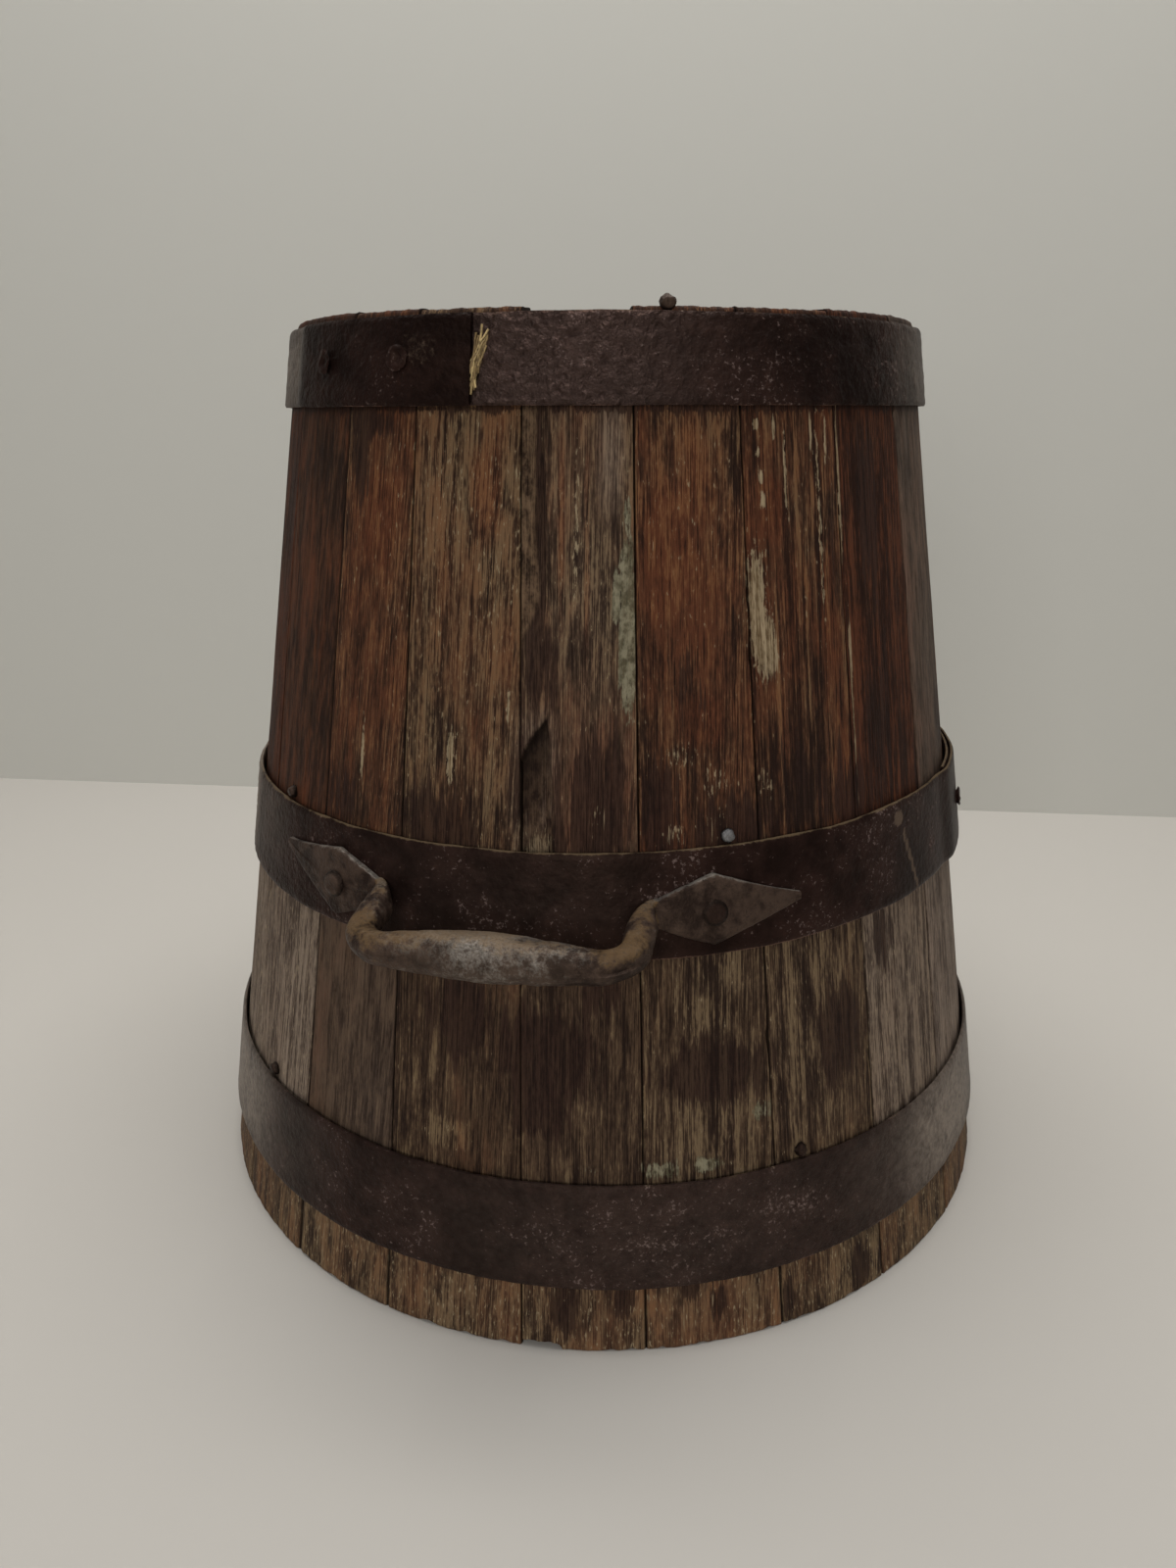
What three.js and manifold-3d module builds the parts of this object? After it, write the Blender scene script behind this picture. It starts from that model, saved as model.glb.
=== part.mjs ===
// A staved grain measure: a tapered tub of coopered staves, held by three lapped iron hoops,
// with a boarded head let into a croze near the foot and a forged carrying handle on two sides.
// Millimetres, +Z up. The origin is the centre of the foot, on the surface that the measure stands on.
// Azimuths are in degrees from -Y, where the front handle is, towards +X.
import * as THREE from "three";
import { mergeVertices } from "three/addons/utils/BufferGeometryUtils.js";
import Module from "manifold-3d";

const wasm = await Module();
wasm.setup();

// Tub
const HEIGHT = 413.5; // tallest stave
const FOOT_DIAMETER = 420;
const RIM_DIAMETER = 287;
const WALL = 16;
const RIM_BEVEL = 4; // inner edge of the mouth
const FOOT_BEVEL = 3; // inner edge of the foot

// Staves: the patterns start at the first joint and repeat round the tub
const STAVE_COUNT = 22;
const STAVE_WIDTHS = [1.07, 0.86, 1.03, 0.98, 0.95, 1.03, 1.06]; // relative
const STAVE_WEAR = [0.2, 0.7, 1.2, 5, 2.3, 2.5, 0.5]; // off the top, by use
const JOINT_LEAN = [0.8, -0.4, 1.7, 2.6, 1.1, 2.5, 1.6]; // degrees from the mouth to the foot
const FIRST_JOINT = -48.6; // at the mouth
const JOINT_GAP = 0.4;
const ARC_STEPS = 4; // facets across a stave

// Head, the floor of the measure
const HEAD_HEIGHT = 38; // underside above the foot
const HEAD_THICKNESS = 18;
const HEAD_EDGE = 8; // what is left of the thickness in the croze
const HEAD_BEVEL = 20; // width of the bevel down to that edge
const HEAD_BOARDS = 3;
const CROZE_DEPTH = 5;
const DOWEL_DIAMETER = 8;
const DOWEL_LENGTH = 44;
const DOWEL_SPACING = 150; // the two dowels of a joint

// Hoops
const HOOP_THICKNESS = 2;
const LAP_LENGTH = 92;
const LAP_RAMP = 16; // length in which the band climbs over its own end
const LAP_RIVET_SPACING = 42;
const LAP_RIVET_MARGIN = 30; // from the outer end to the first rivet
const END_CHAMFER = 4; // corners cut off the outer end
const TOP_HOOP_WIDTH = 32;
const TOP_HOOP_DROP = 3.7; // upper edge below the tallest stave
const TOP_HOOP_CENTRE = HEIGHT - TOP_HOOP_DROP - TOP_HOOP_WIDTH / 2;
const TOP_HOOP = { width: TOP_HOOP_WIDTH, centre: TOP_HOOP_CENTRE, tilt: 0, highSide: 0, outerEnd: -7 };
const MIDDLE_HOOP = { width: 43, centre: 192.5, tilt: 3, highSide: 102, outerEnd: 106 };
const BOTTOM_HOOP = { width: 45.5, centre: 53.3, tilt: 0, highSide: 0, outerEnd: 214 };

// Handles, on the middle hoop
const HANDLE_AZIMUTHS = { front: 0, rear: 180 };
const HANDLE_BELOW_CENTRE = 2; // below the middle of the hoop
const HANDLE_RIVET_SPACING = 158;
const HANDLE_RIVET_DROP = 1.8; // below the middle of the plate
const PLATE_HEIGHT = 29;
const PLATE_THICKNESS = 4;
const PLATE_POINT = 38; // rivet to the outer point of the plate
const LEFT_POINT_RISE = 8; // the left plate's point is forged turned up
const PLATE_NECK = 22; // rivet to where the bar leaves the plate
const PLATE_TIP_HEIGHT = 3;
const LEG_SPACING = 108;
const LEG_DIAMETER = 12;
const GRIP_DIAMETER = 18.5; // the bar swells to this in the middle
const GRIP_REACH = 30; // hoop to the middle of the grip
const GRIP_DROP = 5.5; // grip below the plates
const GRIP_CORNER = 14; // bend between leg and grip, at the middle of the bar
const NECK_BEND = 10; // bend between plate and leg

// Fasteners
const LAP_RIVET_DIAMETER = 6;
const LAP_RIVET_HEAD = { diameter: 11, height: 2 };
const HANDLE_RIVET_DIAMETER = 8;
const HANDLE_RIVET_HEAD = { diameter: 13, height: 2.5 };
const NAIL_DIAMETER = 3;
const NAIL_LENGTH = 13;
const NAIL_HEAD = { diameter: 5.6, height: 2.2 };
const TOP_NAIL_LEAN = 28; // outward lean of the nails in the end grain
const TOP_NAIL_INSET = 1; // nail's axis inside the outer edge of the stave's top
const NAIL_AZIMUTHS = { top: [21, 205], middle: [-40.5, 28, 139, 222], bottom: [-40.5, 37, 139, 222] };
const ROUND_STEPS = 10; // facets round a rivet, nail or dowel

const CLEARANCE = 0.3; // between pieces that seat on each other

const TAPER = (FOOT_DIAMETER - RIM_DIAMETER) / 2 / HEIGHT;
const SLOPE = Math.atan(TAPER);
const HEAD_MIDDLE = HEAD_HEIGHT + HEAD_THICKNESS / 2;

const OAK = new THREE.MeshStandardMaterial({ color: 0x4b3324, roughness: 0.8, metalness: 0 });
const PALE_OAK = new THREE.MeshStandardMaterial({ color: 0x6b5138, roughness: 0.85, metalness: 0 });
const HOOP_IRON = new THREE.MeshStandardMaterial({ color: 0x2c2422, roughness: 0.6, metalness: 0.5 });
const FORGED_IRON = new THREE.MeshStandardMaterial({ color: 0x4a433d, roughness: 0.55, metalness: 0.6 });

const radians = THREE.MathUtils.degToRad;
const degrees = THREE.MathUtils.radToDeg;

// The tub's outer radius at a height.
function outerRadius(z) {
  return FOOT_DIAMETER / 2 - TAPER * z;
}

function radial(azimuth) {
  const a = radians(azimuth);
  return new THREE.Vector3(Math.sin(a), -Math.cos(a), 0);
}

function polar(radius, azimuth, z) {
  return radial(azimuth).multiplyScalar(radius).setZ(z);
}

// The outward normal of the tub's side.
function sideNormal(azimuth) {
  return radial(azimuth).multiplyScalar(Math.cos(SLOPE)).setZ(Math.sin(SLOPE));
}

// The direction up the tub's side.
function sideUp(azimuth) {
  return radial(azimuth).multiplyScalar(-Math.sin(SLOPE)).setZ(Math.cos(SLOPE));
}

function smooth(t) {
  return THREE.MathUtils.smoothstep(t, 0, 1);
}

// Solids and booleans
function solidOf(geometry) {
  const bare = geometry.clone();
  bare.deleteAttribute("normal");
  bare.deleteAttribute("uv");
  const merged = mergeVertices(bare, 1e-4);
  return new wasm.Manifold(
    new wasm.Mesh({
      numProp: 3,
      vertProperties: new Float32Array(merged.attributes.position.array),
      triVerts: new Uint32Array(merged.index.array),
    }),
  );
}

function geometryOf(solid) {
  const mesh = solid.getMesh();
  return new THREE.BufferGeometry()
    .setAttribute("position", new THREE.BufferAttribute(new Float32Array(mesh.vertProperties), 3))
    .setIndex(new THREE.BufferAttribute(new Uint32Array(mesh.triVerts), 1));
}

// A closed solid skinned over a row of sections. Each section is a ring of points, all in step;
// outline gives the same ring in the plane, and is what the two end faces are triangulated from.
function loft(sections, outline) {
  const ring = outline.length;
  const positions = sections.flat().flatMap((p) => [p.x, p.y, p.z]);
  const faces = [];
  for (let s = 0; s + 1 < sections.length; s++) {
    for (let i = 0; i < ring; i++) {
      const a = s * ring + i;
      const b = s * ring + ((i + 1) % ring);
      faces.push(a, b, a + ring, b, b + ring, a + ring);
    }
  }
  const last = (sections.length - 1) * ring;
  for (const [i, j, k] of THREE.ShapeUtils.triangulateShape(outline, [])) {
    faces.push(k, j, i, last + i, last + j, last + k);
  }
  return new THREE.BufferGeometry()
    .setAttribute("position", new THREE.Float32BufferAttribute(positions, 3))
    .setIndex(faces);
}

// A turned piece: profile points are [radius, distance along the axis].
function turned(profile, steps) {
  return new THREE.LatheGeometry(
    profile.map(([r, w]) => new THREE.Vector2(r, w)),
    steps,
  );
}

// Turns a piece whose axis is +Y so that it points along a direction from a place.
function aim(object, place, direction) {
  object.position.copy(place);
  object.quaternion.setFromUnitVectors(new THREE.Vector3(0, 1, 0), direction);
  object.updateMatrix();
  return object;
}

// A drill for a round hole along a fastener's axis, from one depth to another.
function drill(place, direction, diameter, from, to) {
  const radius = diameter / 2 + CLEARANCE;
  const bit = turned([[0, from], [radius, from], [radius, to], [0, to]], ROUND_STEPS);
  const placed = aim(new THREE.Object3D(), place, direction);
  return solidOf(bit.applyMatrix4(placed.matrix));
}

// Cuts away from a geometry each drill that reaches it.
function bored(geometry, drills) {
  let solid = solidOf(geometry);
  for (const bit of drills) solid = solid.subtract(bit);
  return drills.length ? geometryOf(solid) : geometry;
}

// Joints between the staves, as azimuths, with the first repeated at the end
const staveWidth = (i) => STAVE_WIDTHS[i % STAVE_WIDTHS.length];
const widthSum = Array.from({ length: STAVE_COUNT }, (_, i) => staveWidth(i)).reduce((a, b) => a + b);
const joints = [FIRST_JOINT];
for (let i = 0; i < STAVE_COUNT; i++) joints.push(joints[i] + (staveWidth(i) * 360) / widthSum);

// A joint's azimuth at a height: none of them runs quite straight down the side.
function jointAt(i, z) {
  const lean = JOINT_LEAN[(i % STAVE_COUNT) % JOINT_LEAN.length];
  return joints[i] + lean * (1 - z / HEIGHT);
}

// The head's rim stands in the croze, clear of its bottom and its two sides.
const innerRadius = (z) => outerRadius(z) - WALL;
const crozeRadius = innerRadius(HEAD_MIDDLE) + CROZE_DEPTH;
const facetShare = Math.cos(radians(180 / STAVE_COUNT / ARC_STEPS)); // a facet's middle, of its corners
const headRadius = crozeRadius * facetShare - CLEARANCE;

// A stave's section on a radial plane, [radius, height], with the croze in its inner face.
function staveProfile(top) {
  const groove = HEAD_EDGE / 2 + CLEARANCE;
  const low = HEAD_MIDDLE - groove;
  const high = HEAD_MIDDLE + groove;
  return [
    [outerRadius(0), 0],
    [outerRadius(top), top],
    [innerRadius(top) + RIM_BEVEL, top],
    [innerRadius(top - RIM_BEVEL), top - RIM_BEVEL],
    [innerRadius(high), high],
    [crozeRadius, high],
    [crozeRadius, low],
    [innerRadius(low), low],
    [innerRadius(FOOT_BEVEL), FOOT_BEVEL],
    [innerRadius(0) + FOOT_BEVEL, 0],
  ];
}

function staveGeometry(i) {
  const profile = staveProfile(staveTop(i));
  const sections = [];
  for (let s = 0; s <= ARC_STEPS; s++) {
    sections.push(
      profile.map(([r, z]) => {
        const gap = degrees(JOINT_GAP / 2 / r);
        const azimuth = THREE.MathUtils.lerp(jointAt(i, z) + gap, jointAt(i + 1, z) - gap, s / ARC_STEPS);
        return polar(r, azimuth, z);
      }),
    );
  }
  return loft(sections.reverse(), profile.map(([r, z]) => new THREE.Vector2(r, z)));
}

// Hoops
function hoopLift(hoop, azimuth) {
  return hoop.tilt * Math.cos(radians(azimuth - hoop.highSide));
}

function hoopTop(hoop, azimuth) {
  return hoop.centre + hoop.width / 2 + hoopLift(hoop, azimuth);
}

// Length along a hoop as an angle.
function alongHoop(hoop, length) {
  return degrees(length / outerRadius(hoop.centre));
}

// Where the band's two layers lie over each other, and the rivets that join them.
function lapOf(hoop) {
  const rivet = hoop.outerEnd - alongHoop(hoop, LAP_RIVET_MARGIN);
  return {
    innerEnd: hoop.outerEnd - alongHoop(hoop, LAP_LENGTH),
    rivets: [rivet, rivet - alongHoop(hoop, LAP_RIVET_SPACING)],
  };
}

// The band runs once round from its inner end, climbs, and lies over itself to its outer end.
function hoopGeometry(hoop) {
  const { innerEnd } = lapOf(hoop);
  const climbEnd = innerEnd + 360 - alongHoop(hoop, END_CHAMFER);
  const climbStart = climbEnd - alongHoop(hoop, LAP_RAMP);
  const chamferStart = hoop.outerEnd + 360 - alongHoop(hoop, END_CHAMFER);
  const stops = [innerEnd, climbStart, climbEnd, chamferStart, hoop.outerEnd + 360];
  const stepsBetween = [ARC_STEPS * STAVE_COUNT, 4, 8, 1];
  const azimuths = [innerEnd];
  stepsBetween.forEach((count, i) => {
    for (let s = 1; s <= count; s++) {
      azimuths.push(THREE.MathUtils.lerp(stops[i], stops[i + 1], s / count));
    }
  });
  const layer = HOOP_THICKNESS + CLEARANCE;
  const sections = azimuths.map((azimuth) => {
    const lift = layer * smooth((azimuth - climbStart) / (climbEnd - climbStart)) + CLEARANCE;
    const cut = END_CHAMFER * Math.max(0, (azimuth - chamferStart) / (stops[4] - chamferStart));
    const low = hoop.centre - hoop.width / 2 + hoopLift(hoop, azimuth) + cut;
    const high = hoopTop(hoop, azimuth) - cut;
    const corner = (z, out) => polar(outerRadius(z) + lift + out, azimuth, z);
    return [corner(low, 0), corner(low, HOOP_THICKNESS), corner(high, HOOP_THICKNESS), corner(high, 0)];
  });
  const flat = [[0, 0], [HOOP_THICKNESS, 0], [HOOP_THICKNESS, hoop.width], [0, hoop.width]];
  return loft(sections.reverse(), flat.map(([x, y]) => new THREE.Vector2(x, y)));
}

// A rivet's profile: a flush or headed tail, the shank and a low domed head, along its axis.
function rivetProfile(diameter, head, shankFrom, shankTo, tail) {
  const dome = (seat, way) => [
    [head.diameter / 2, seat],
    [head.diameter / 2, seat + way * head.height * 0.35],
    [head.diameter * 0.3, seat + way * head.height],
    [0, seat + way * head.height],
  ];
  const start = tail ? dome(shankFrom, -1).reverse() : [[0, shankFrom]];
  return [...start, [diameter / 2, shankFrom], [diameter / 2, shankTo], ...dome(shankTo, 1)];
}

// The rivets through a hoop's lap, as { place, direction, from, to } along the side's normal.
function lapRivets(hoop) {
  return lapOf(hoop).rivets.map((azimuth) => {
    const z = hoop.centre + hoopLift(hoop, azimuth);
    return {
      place: polar(outerRadius(z), azimuth, z),
      direction: sideNormal(azimuth),
      from: CLEARANCE * Math.cos(SLOPE),
      to: (2 * HOOP_THICKNESS + 3 * CLEARANCE) * Math.cos(SLOPE),
    };
  });
}

// Handles
const plateRadius = (z) => outerRadius(z) + HOOP_THICKNESS + 2 * CLEARANCE + PLATE_THICKNESS / 2;
const handleHeight = MIDDLE_HOOP.centre - HANDLE_BELOW_CENTRE;
const plateHeightAt = (azimuth) => handleHeight + hoopLift(MIDDLE_HOOP, azimuth);
const bowRadius = plateRadius(handleHeight);
const rivetAngle = degrees(Math.asin(HANDLE_RIVET_SPACING / 2 / bowRadius));
const neckAngle = rivetAngle - degrees(PLATE_NECK / bowRadius);
const pointAngle = rivetAngle + degrees(PLATE_POINT / bowRadius);

// One ring round the bar or plate: a superellipse, round at 2 and nearly square at 8.
const SECTION_STEPS = 12;
const sectionStep = (2 * Math.PI) / SECTION_STEPS;
const sectionAngles = Array.from({ length: SECTION_STEPS }, (_, i) => (i + 0.5) * sectionStep);
function superellipse(angle, width, height, squareness) {
  const power = (v) => Math.sign(v) * Math.abs(v) ** (2 / squareness);
  return [(width / 2) * power(Math.cos(angle)), (height / 2) * power(Math.sin(angle))];
}

// Half of the bar in plan, from the middle of the grip to where it becomes the plate.
function bowPlan() {
  const reach = bowRadius - PLATE_THICKNESS / 2 - CLEARANCE + GRIP_REACH;
  const leg = LEG_SPACING / 2;
  const neck = new THREE.Vector2(0, bowRadius).rotateAround(new THREE.Vector2(), -radians(neckAngle));
  const turn = neck.y + (neck.x - leg) * Math.tan(radians(neckAngle)); // the plate's line meets the leg's
  const plan = new THREE.Path();
  plan.moveTo(0, reach);
  plan.lineTo(leg - GRIP_CORNER, reach);
  plan.absarc(leg - GRIP_CORNER, reach - GRIP_CORNER, GRIP_CORNER, Math.PI / 2, 0, true);
  plan.lineTo(leg, turn + NECK_BEND);
  plan.quadraticCurveTo(leg, turn, neck.x, neck.y);
  return { plan, reach, neckOut: neck.y, turnOut: turn + NECK_BEND };
}

// The sections of one half of a handle, from the middle of the grip to the point of the plate.
function halfHandle(centre, side) {
  const { plan, reach, neckOut, turnOut } = bowPlan();
  const out = radial(centre);
  const across = new THREE.Vector3(-out.y, out.x, 0);
  const leg = LEG_SPACING / 2;
  const plateLevel = (s) => plateHeightAt(centre + (neckAngle * THREE.MathUtils.clamp(s, -leg, leg)) / leg);
  const sections = [];
  const ring = (middle, outward, up, thickness, height, squareness) =>
    sections.push(
      sectionAngles.map((angle) => {
        const [w, h] = superellipse(angle, thickness, height, squareness);
        return middle.clone().addScaledVector(outward, w).addScaledVector(up, h);
      }),
    );
  const bowSteps = 18;
  for (let i = 0; i < bowSteps; i++) {
    const share = i / bowSteps;
    const at = plan.getPointAt(share);
    const tangent = plan.getTangentAt(share);
    const level = plateLevel(side * at.x) - (GRIP_DROP * (at.y - neckOut)) / (reach - neckOut);
    const middle = out.clone().multiplyScalar(at.y).addScaledVector(across, side * at.x).setZ(level);
    const outward = out.clone().multiplyScalar(tangent.x).addScaledVector(across, -side * tangent.y);
    const swell = Math.cos((Math.PI / 2) * Math.min(1, at.x / leg)) ** 2;
    const bar = THREE.MathUtils.lerp(LEG_DIAMETER, GRIP_DIAMETER, swell);
    const flatten = smooth((turnOut - at.y) / (turnOut - neckOut));
    const up = new THREE.Vector3(0, 0, 1).lerp(sideUp(centre + side * neckAngle), flatten).normalize();
    ring(middle, outward, up, THREE.MathUtils.lerp(bar, PLATE_THICKNESS, flatten), bar, 2 + 4 * flatten);
  }
  const plateSteps = 8;
  for (let i = 0; i <= plateSteps; i++) {
    const angle =
      i < 4
        ? THREE.MathUtils.lerp(neckAngle, rivetAngle, i / 4)
        : THREE.MathUtils.lerp(rivetAngle, pointAngle, (i - 4) / (plateSteps - 4));
    const height =
      i < 4
        ? THREE.MathUtils.lerp(LEG_DIAMETER, PLATE_HEIGHT, i / 4)
        : THREE.MathUtils.lerp(PLATE_HEIGHT, PLATE_TIP_HEIGHT, (i - 4) / (plateSteps - 4));
    const azimuth = centre + side * angle;
    const towardsPoint = Math.max(0, (angle - rivetAngle) / (pointAngle - rivetAngle));
    const z = plateHeightAt(azimuth) + (side < 0 ? LEFT_POINT_RISE * towardsPoint : 0);
    const middle = polar(plateRadius(z), azimuth, z);
    ring(middle, sideNormal(azimuth), sideUp(azimuth), PLATE_THICKNESS, height, 6);
  }
  return sections;
}

function handleGeometry(centre) {
  const sections = [...halfHandle(centre, 1).reverse(), ...halfHandle(centre, -1).slice(1)];
  return loft(sections, sectionAngles.map((a) => new THREE.Vector2(Math.cos(a), Math.sin(a))));
}

// A handle's rivets go through the plate, the hoop and the stave, and are headed over inside.
function handleRivets(centre) {
  return [-1, 1].map((side) => {
    const azimuth = centre + side * rivetAngle;
    const z = plateHeightAt(azimuth) - HANDLE_RIVET_DROP;
    return {
      place: polar(outerRadius(z), azimuth, z),
      direction: sideNormal(azimuth),
      from: -(WALL + CLEARANCE) * Math.cos(SLOPE),
      to: (HOOP_THICKNESS + PLATE_THICKNESS + 3 * CLEARANCE) * Math.cos(SLOPE),
    };
  });
}

// Nails that keep a hoop from working up the taper: their heads bear on its upper edge.
function sideNails(hoop, azimuths) {
  return azimuths.map((azimuth) => {
    const z = hoopTop(hoop, azimuth) + NAIL_HEAD.diameter / 2 + CLEARANCE;
    return { place: polar(outerRadius(z) + CLEARANCE, azimuth, z), direction: sideNormal(azimuth) };
  });
}

// The top hoop has no wood above it, so its nails are driven into the end grain and lean over it.
function endGrainNails(azimuths) {
  return azimuths.map((azimuth) => {
    const z = staveTop(staveAt(azimuth));
    const lean = radians(TOP_NAIL_LEAN);
    const seat = z + (NAIL_HEAD.diameter / 2) * Math.sin(lean) + CLEARANCE;
    return {
      place: polar(outerRadius(z) - TOP_NAIL_INSET, azimuth, seat),
      direction: radial(azimuth).multiplyScalar(Math.sin(lean)).setZ(Math.cos(lean)),
    };
  });
}

function nailGeometry() {
  const shank = NAIL_DIAMETER / 2;
  const head = NAIL_HEAD.diameter / 2;
  const profile = [
    [0, -NAIL_LENGTH],
    [shank * 0.4, -NAIL_LENGTH],
    [shank, -NAIL_LENGTH * 0.6],
    [shank, 0],
    [head, 0],
    [head, NAIL_HEAD.height * 0.4],
    [head * 0.5, NAIL_HEAD.height],
    [0, NAIL_HEAD.height],
  ];
  return turned(profile, ROUND_STEPS);
}

function staveAt(azimuth) {
  const turnFrom = THREE.MathUtils.euclideanModulo(azimuth - FIRST_JOINT, 360) + FIRST_JOINT;
  return joints.findIndex((joint, i) => turnFrom >= joint && turnFrom < joints[i + 1]);
}

function staveTop(i) {
  return HEIGHT - STAVE_WEAR[i % STAVE_WEAR.length];
}

const ACROSS_BOARDS = new THREE.Vector3(0, 1, 0);

// The head: a bevelled disc sawn into boards, which dowels hold edge to edge.
function headBoards() {
  const edge = HEAD_EDGE / 2;
  const low = HEAD_HEIGHT;
  const high = HEAD_HEIGHT + HEAD_THICKNESS;
  const tongue = headRadius - CROZE_DEPTH - 2 * CLEARANCE - (TAPER * HEAD_THICKNESS) / 2;
  const inner = tongue - HEAD_BEVEL;
  const disc = turned(
    [
      [0, low],
      [inner, low],
      [tongue, HEAD_MIDDLE - edge],
      [headRadius, HEAD_MIDDLE - edge],
      [headRadius, HEAD_MIDDLE + edge],
      [tongue, HEAD_MIDDLE + edge],
      [inner, high],
      [0, high],
    ],
    STAVE_COUNT * ARC_STEPS,
  ).rotateX(Math.PI / 2);
  const blank = solidOf(disc);
  const boardWidth = (2 * headRadius) / HEAD_BOARDS;
  const halfHole = DOWEL_LENGTH / 2 + CLEARANCE;
  const holes = dowelPlaces().map((place) =>
    drill(place, ACROSS_BOARDS, DOWEL_DIAMETER, -halfHole, halfHole),
  );
  return Array.from({ length: HEAD_BOARDS }, (_, i) => {
    const saw = new THREE.BoxGeometry(2 * FOOT_DIAMETER, boardWidth - JOINT_GAP, 2 * high);
    saw.translate(0, -headRadius + (i + 0.5) * boardWidth, 0);
    return bored(geometryOf(blank.intersect(solidOf(saw))), holes);
  });
}

function dowelPlaces() {
  const boardWidth = (2 * headRadius) / HEAD_BOARDS;
  const places = [];
  for (let joint = 1; joint < HEAD_BOARDS; joint++) {
    for (const side of [-1, 1]) {
      const y = -headRadius + joint * boardWidth;
      places.push(new THREE.Vector3((side * DOWEL_SPACING) / 2, y, HEAD_MIDDLE));
    }
  }
  return places;
}

// Assembly
const measure = new THREE.Group();
const number = (i) => String(i + 1).padStart(2, "0");

function piece(parent, name, geometry, material) {
  const mesh = new THREE.Mesh(geometry, material);
  mesh.name = name;
  parent.add(mesh);
  return mesh;
}

const hoops = { top: TOP_HOOP, middle: MIDDLE_HOOP, bottom: BOTTOM_HOOP };
const handleDrills = {};
for (const [name, centre] of Object.entries(HANDLE_AZIMUTHS)) {
  handleDrills[name] = handleRivets(centre).map((rivet) =>
    drill(rivet.place, rivet.direction, HANDLE_RIVET_DIAMETER, 2 * rivet.from, 2 * rivet.to),
  );
}
const nails = {
  top: endGrainNails(NAIL_AZIMUTHS.top),
  middle: sideNails(MIDDLE_HOOP, NAIL_AZIMUTHS.middle),
  bottom: sideNails(BOTTOM_HOOP, NAIL_AZIMUTHS.bottom),
};
const nailDrills = Object.values(nails)
  .flat()
  .map((nail) => drill(nail.place, nail.direction, NAIL_DIAMETER, -NAIL_LENGTH - CLEARANCE, NAIL_LENGTH));

const tub = new THREE.Group();
measure.add(tub);
for (let i = 0; i < STAVE_COUNT; i++) {
  const wood = staveGeometry(i);
  const holes = [...Object.values(handleDrills).flat(), ...nailDrills];
  piece(tub, `stave_${number(i)}`, bored(wood, holes), OAK);
}
headBoards().forEach((board, i) => piece(tub, `head_board_${number(i)}`, board, PALE_OAK));
dowelPlaces().forEach((place, i) => {
  const half = DOWEL_LENGTH / 2;
  const radius = DOWEL_DIAMETER / 2;
  const pin = turned([[0, -half], [radius, -half], [radius, half], [0, half]], ROUND_STEPS);
  aim(piece(tub, `head_dowel_${number(i)}`, pin, PALE_OAK), place, ACROSS_BOARDS);
});

const ironwork = new THREE.Group();
measure.add(ironwork);
for (const [name, hoop] of Object.entries(hoops)) {
  const rivets = lapRivets(hoop);
  const holes = rivets.map(({ place, direction, to }) =>
    drill(place, direction, LAP_RIVET_DIAMETER, -HOOP_THICKNESS, 2 * to),
  );
  if (hoop === MIDDLE_HOOP) holes.push(...Object.values(handleDrills).flat());
  piece(ironwork, `${name}_hoop`, bored(hoopGeometry(hoop), holes), HOOP_IRON);
  rivets.forEach((rivet, i) => {
    const profile = rivetProfile(LAP_RIVET_DIAMETER, LAP_RIVET_HEAD, rivet.from, rivet.to, false);
    const rivetName = `${name}_hoop_rivet_${number(i)}`;
    const mesh = piece(ironwork, rivetName, turned(profile, ROUND_STEPS), HOOP_IRON);
    aim(mesh, rivet.place, rivet.direction);
  });
  nails[name].forEach((nail, i) => {
    const mesh = piece(ironwork, `${name}_hoop_nail_${number(i)}`, nailGeometry(), FORGED_IRON);
    aim(mesh, nail.place, nail.direction);
  });
}

for (const [name, centre] of Object.entries(HANDLE_AZIMUTHS)) {
  piece(ironwork, `${name}_handle`, bored(handleGeometry(centre), handleDrills[name]), FORGED_IRON);
  handleRivets(centre).forEach((rivet, i) => {
    const profile = rivetProfile(HANDLE_RIVET_DIAMETER, HANDLE_RIVET_HEAD, rivet.from, rivet.to, true);
    const rivetName = `${name}_handle_rivet_${number(i)}`;
    const mesh = piece(ironwork, rivetName, turned(profile, ROUND_STEPS), FORGED_IRON);
    aim(mesh, rivet.place, rivet.direction);
  });
}

export default measure;
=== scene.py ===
# %% [markdown]
# # A grain measure: oak staves, iron hoops and two forged handles
# A grain measure is a cooper's work: tapered staves stand in a ring, three riveted iron hoops
# hold them, boards let into a groove near the foot make the floor, and a smith's handle is
# riveted on each side to lift it. This lesson dresses the plain solids of such a measure.
# It loads them first, because they fix where every piece is and how large it may be: each cell
# below makes one piece or one finish, in metres, in the same place as the solid it stands for.

# %% The frame
import math

import bpy
import numpy as np
from mathutils import Matrix, Vector


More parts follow.
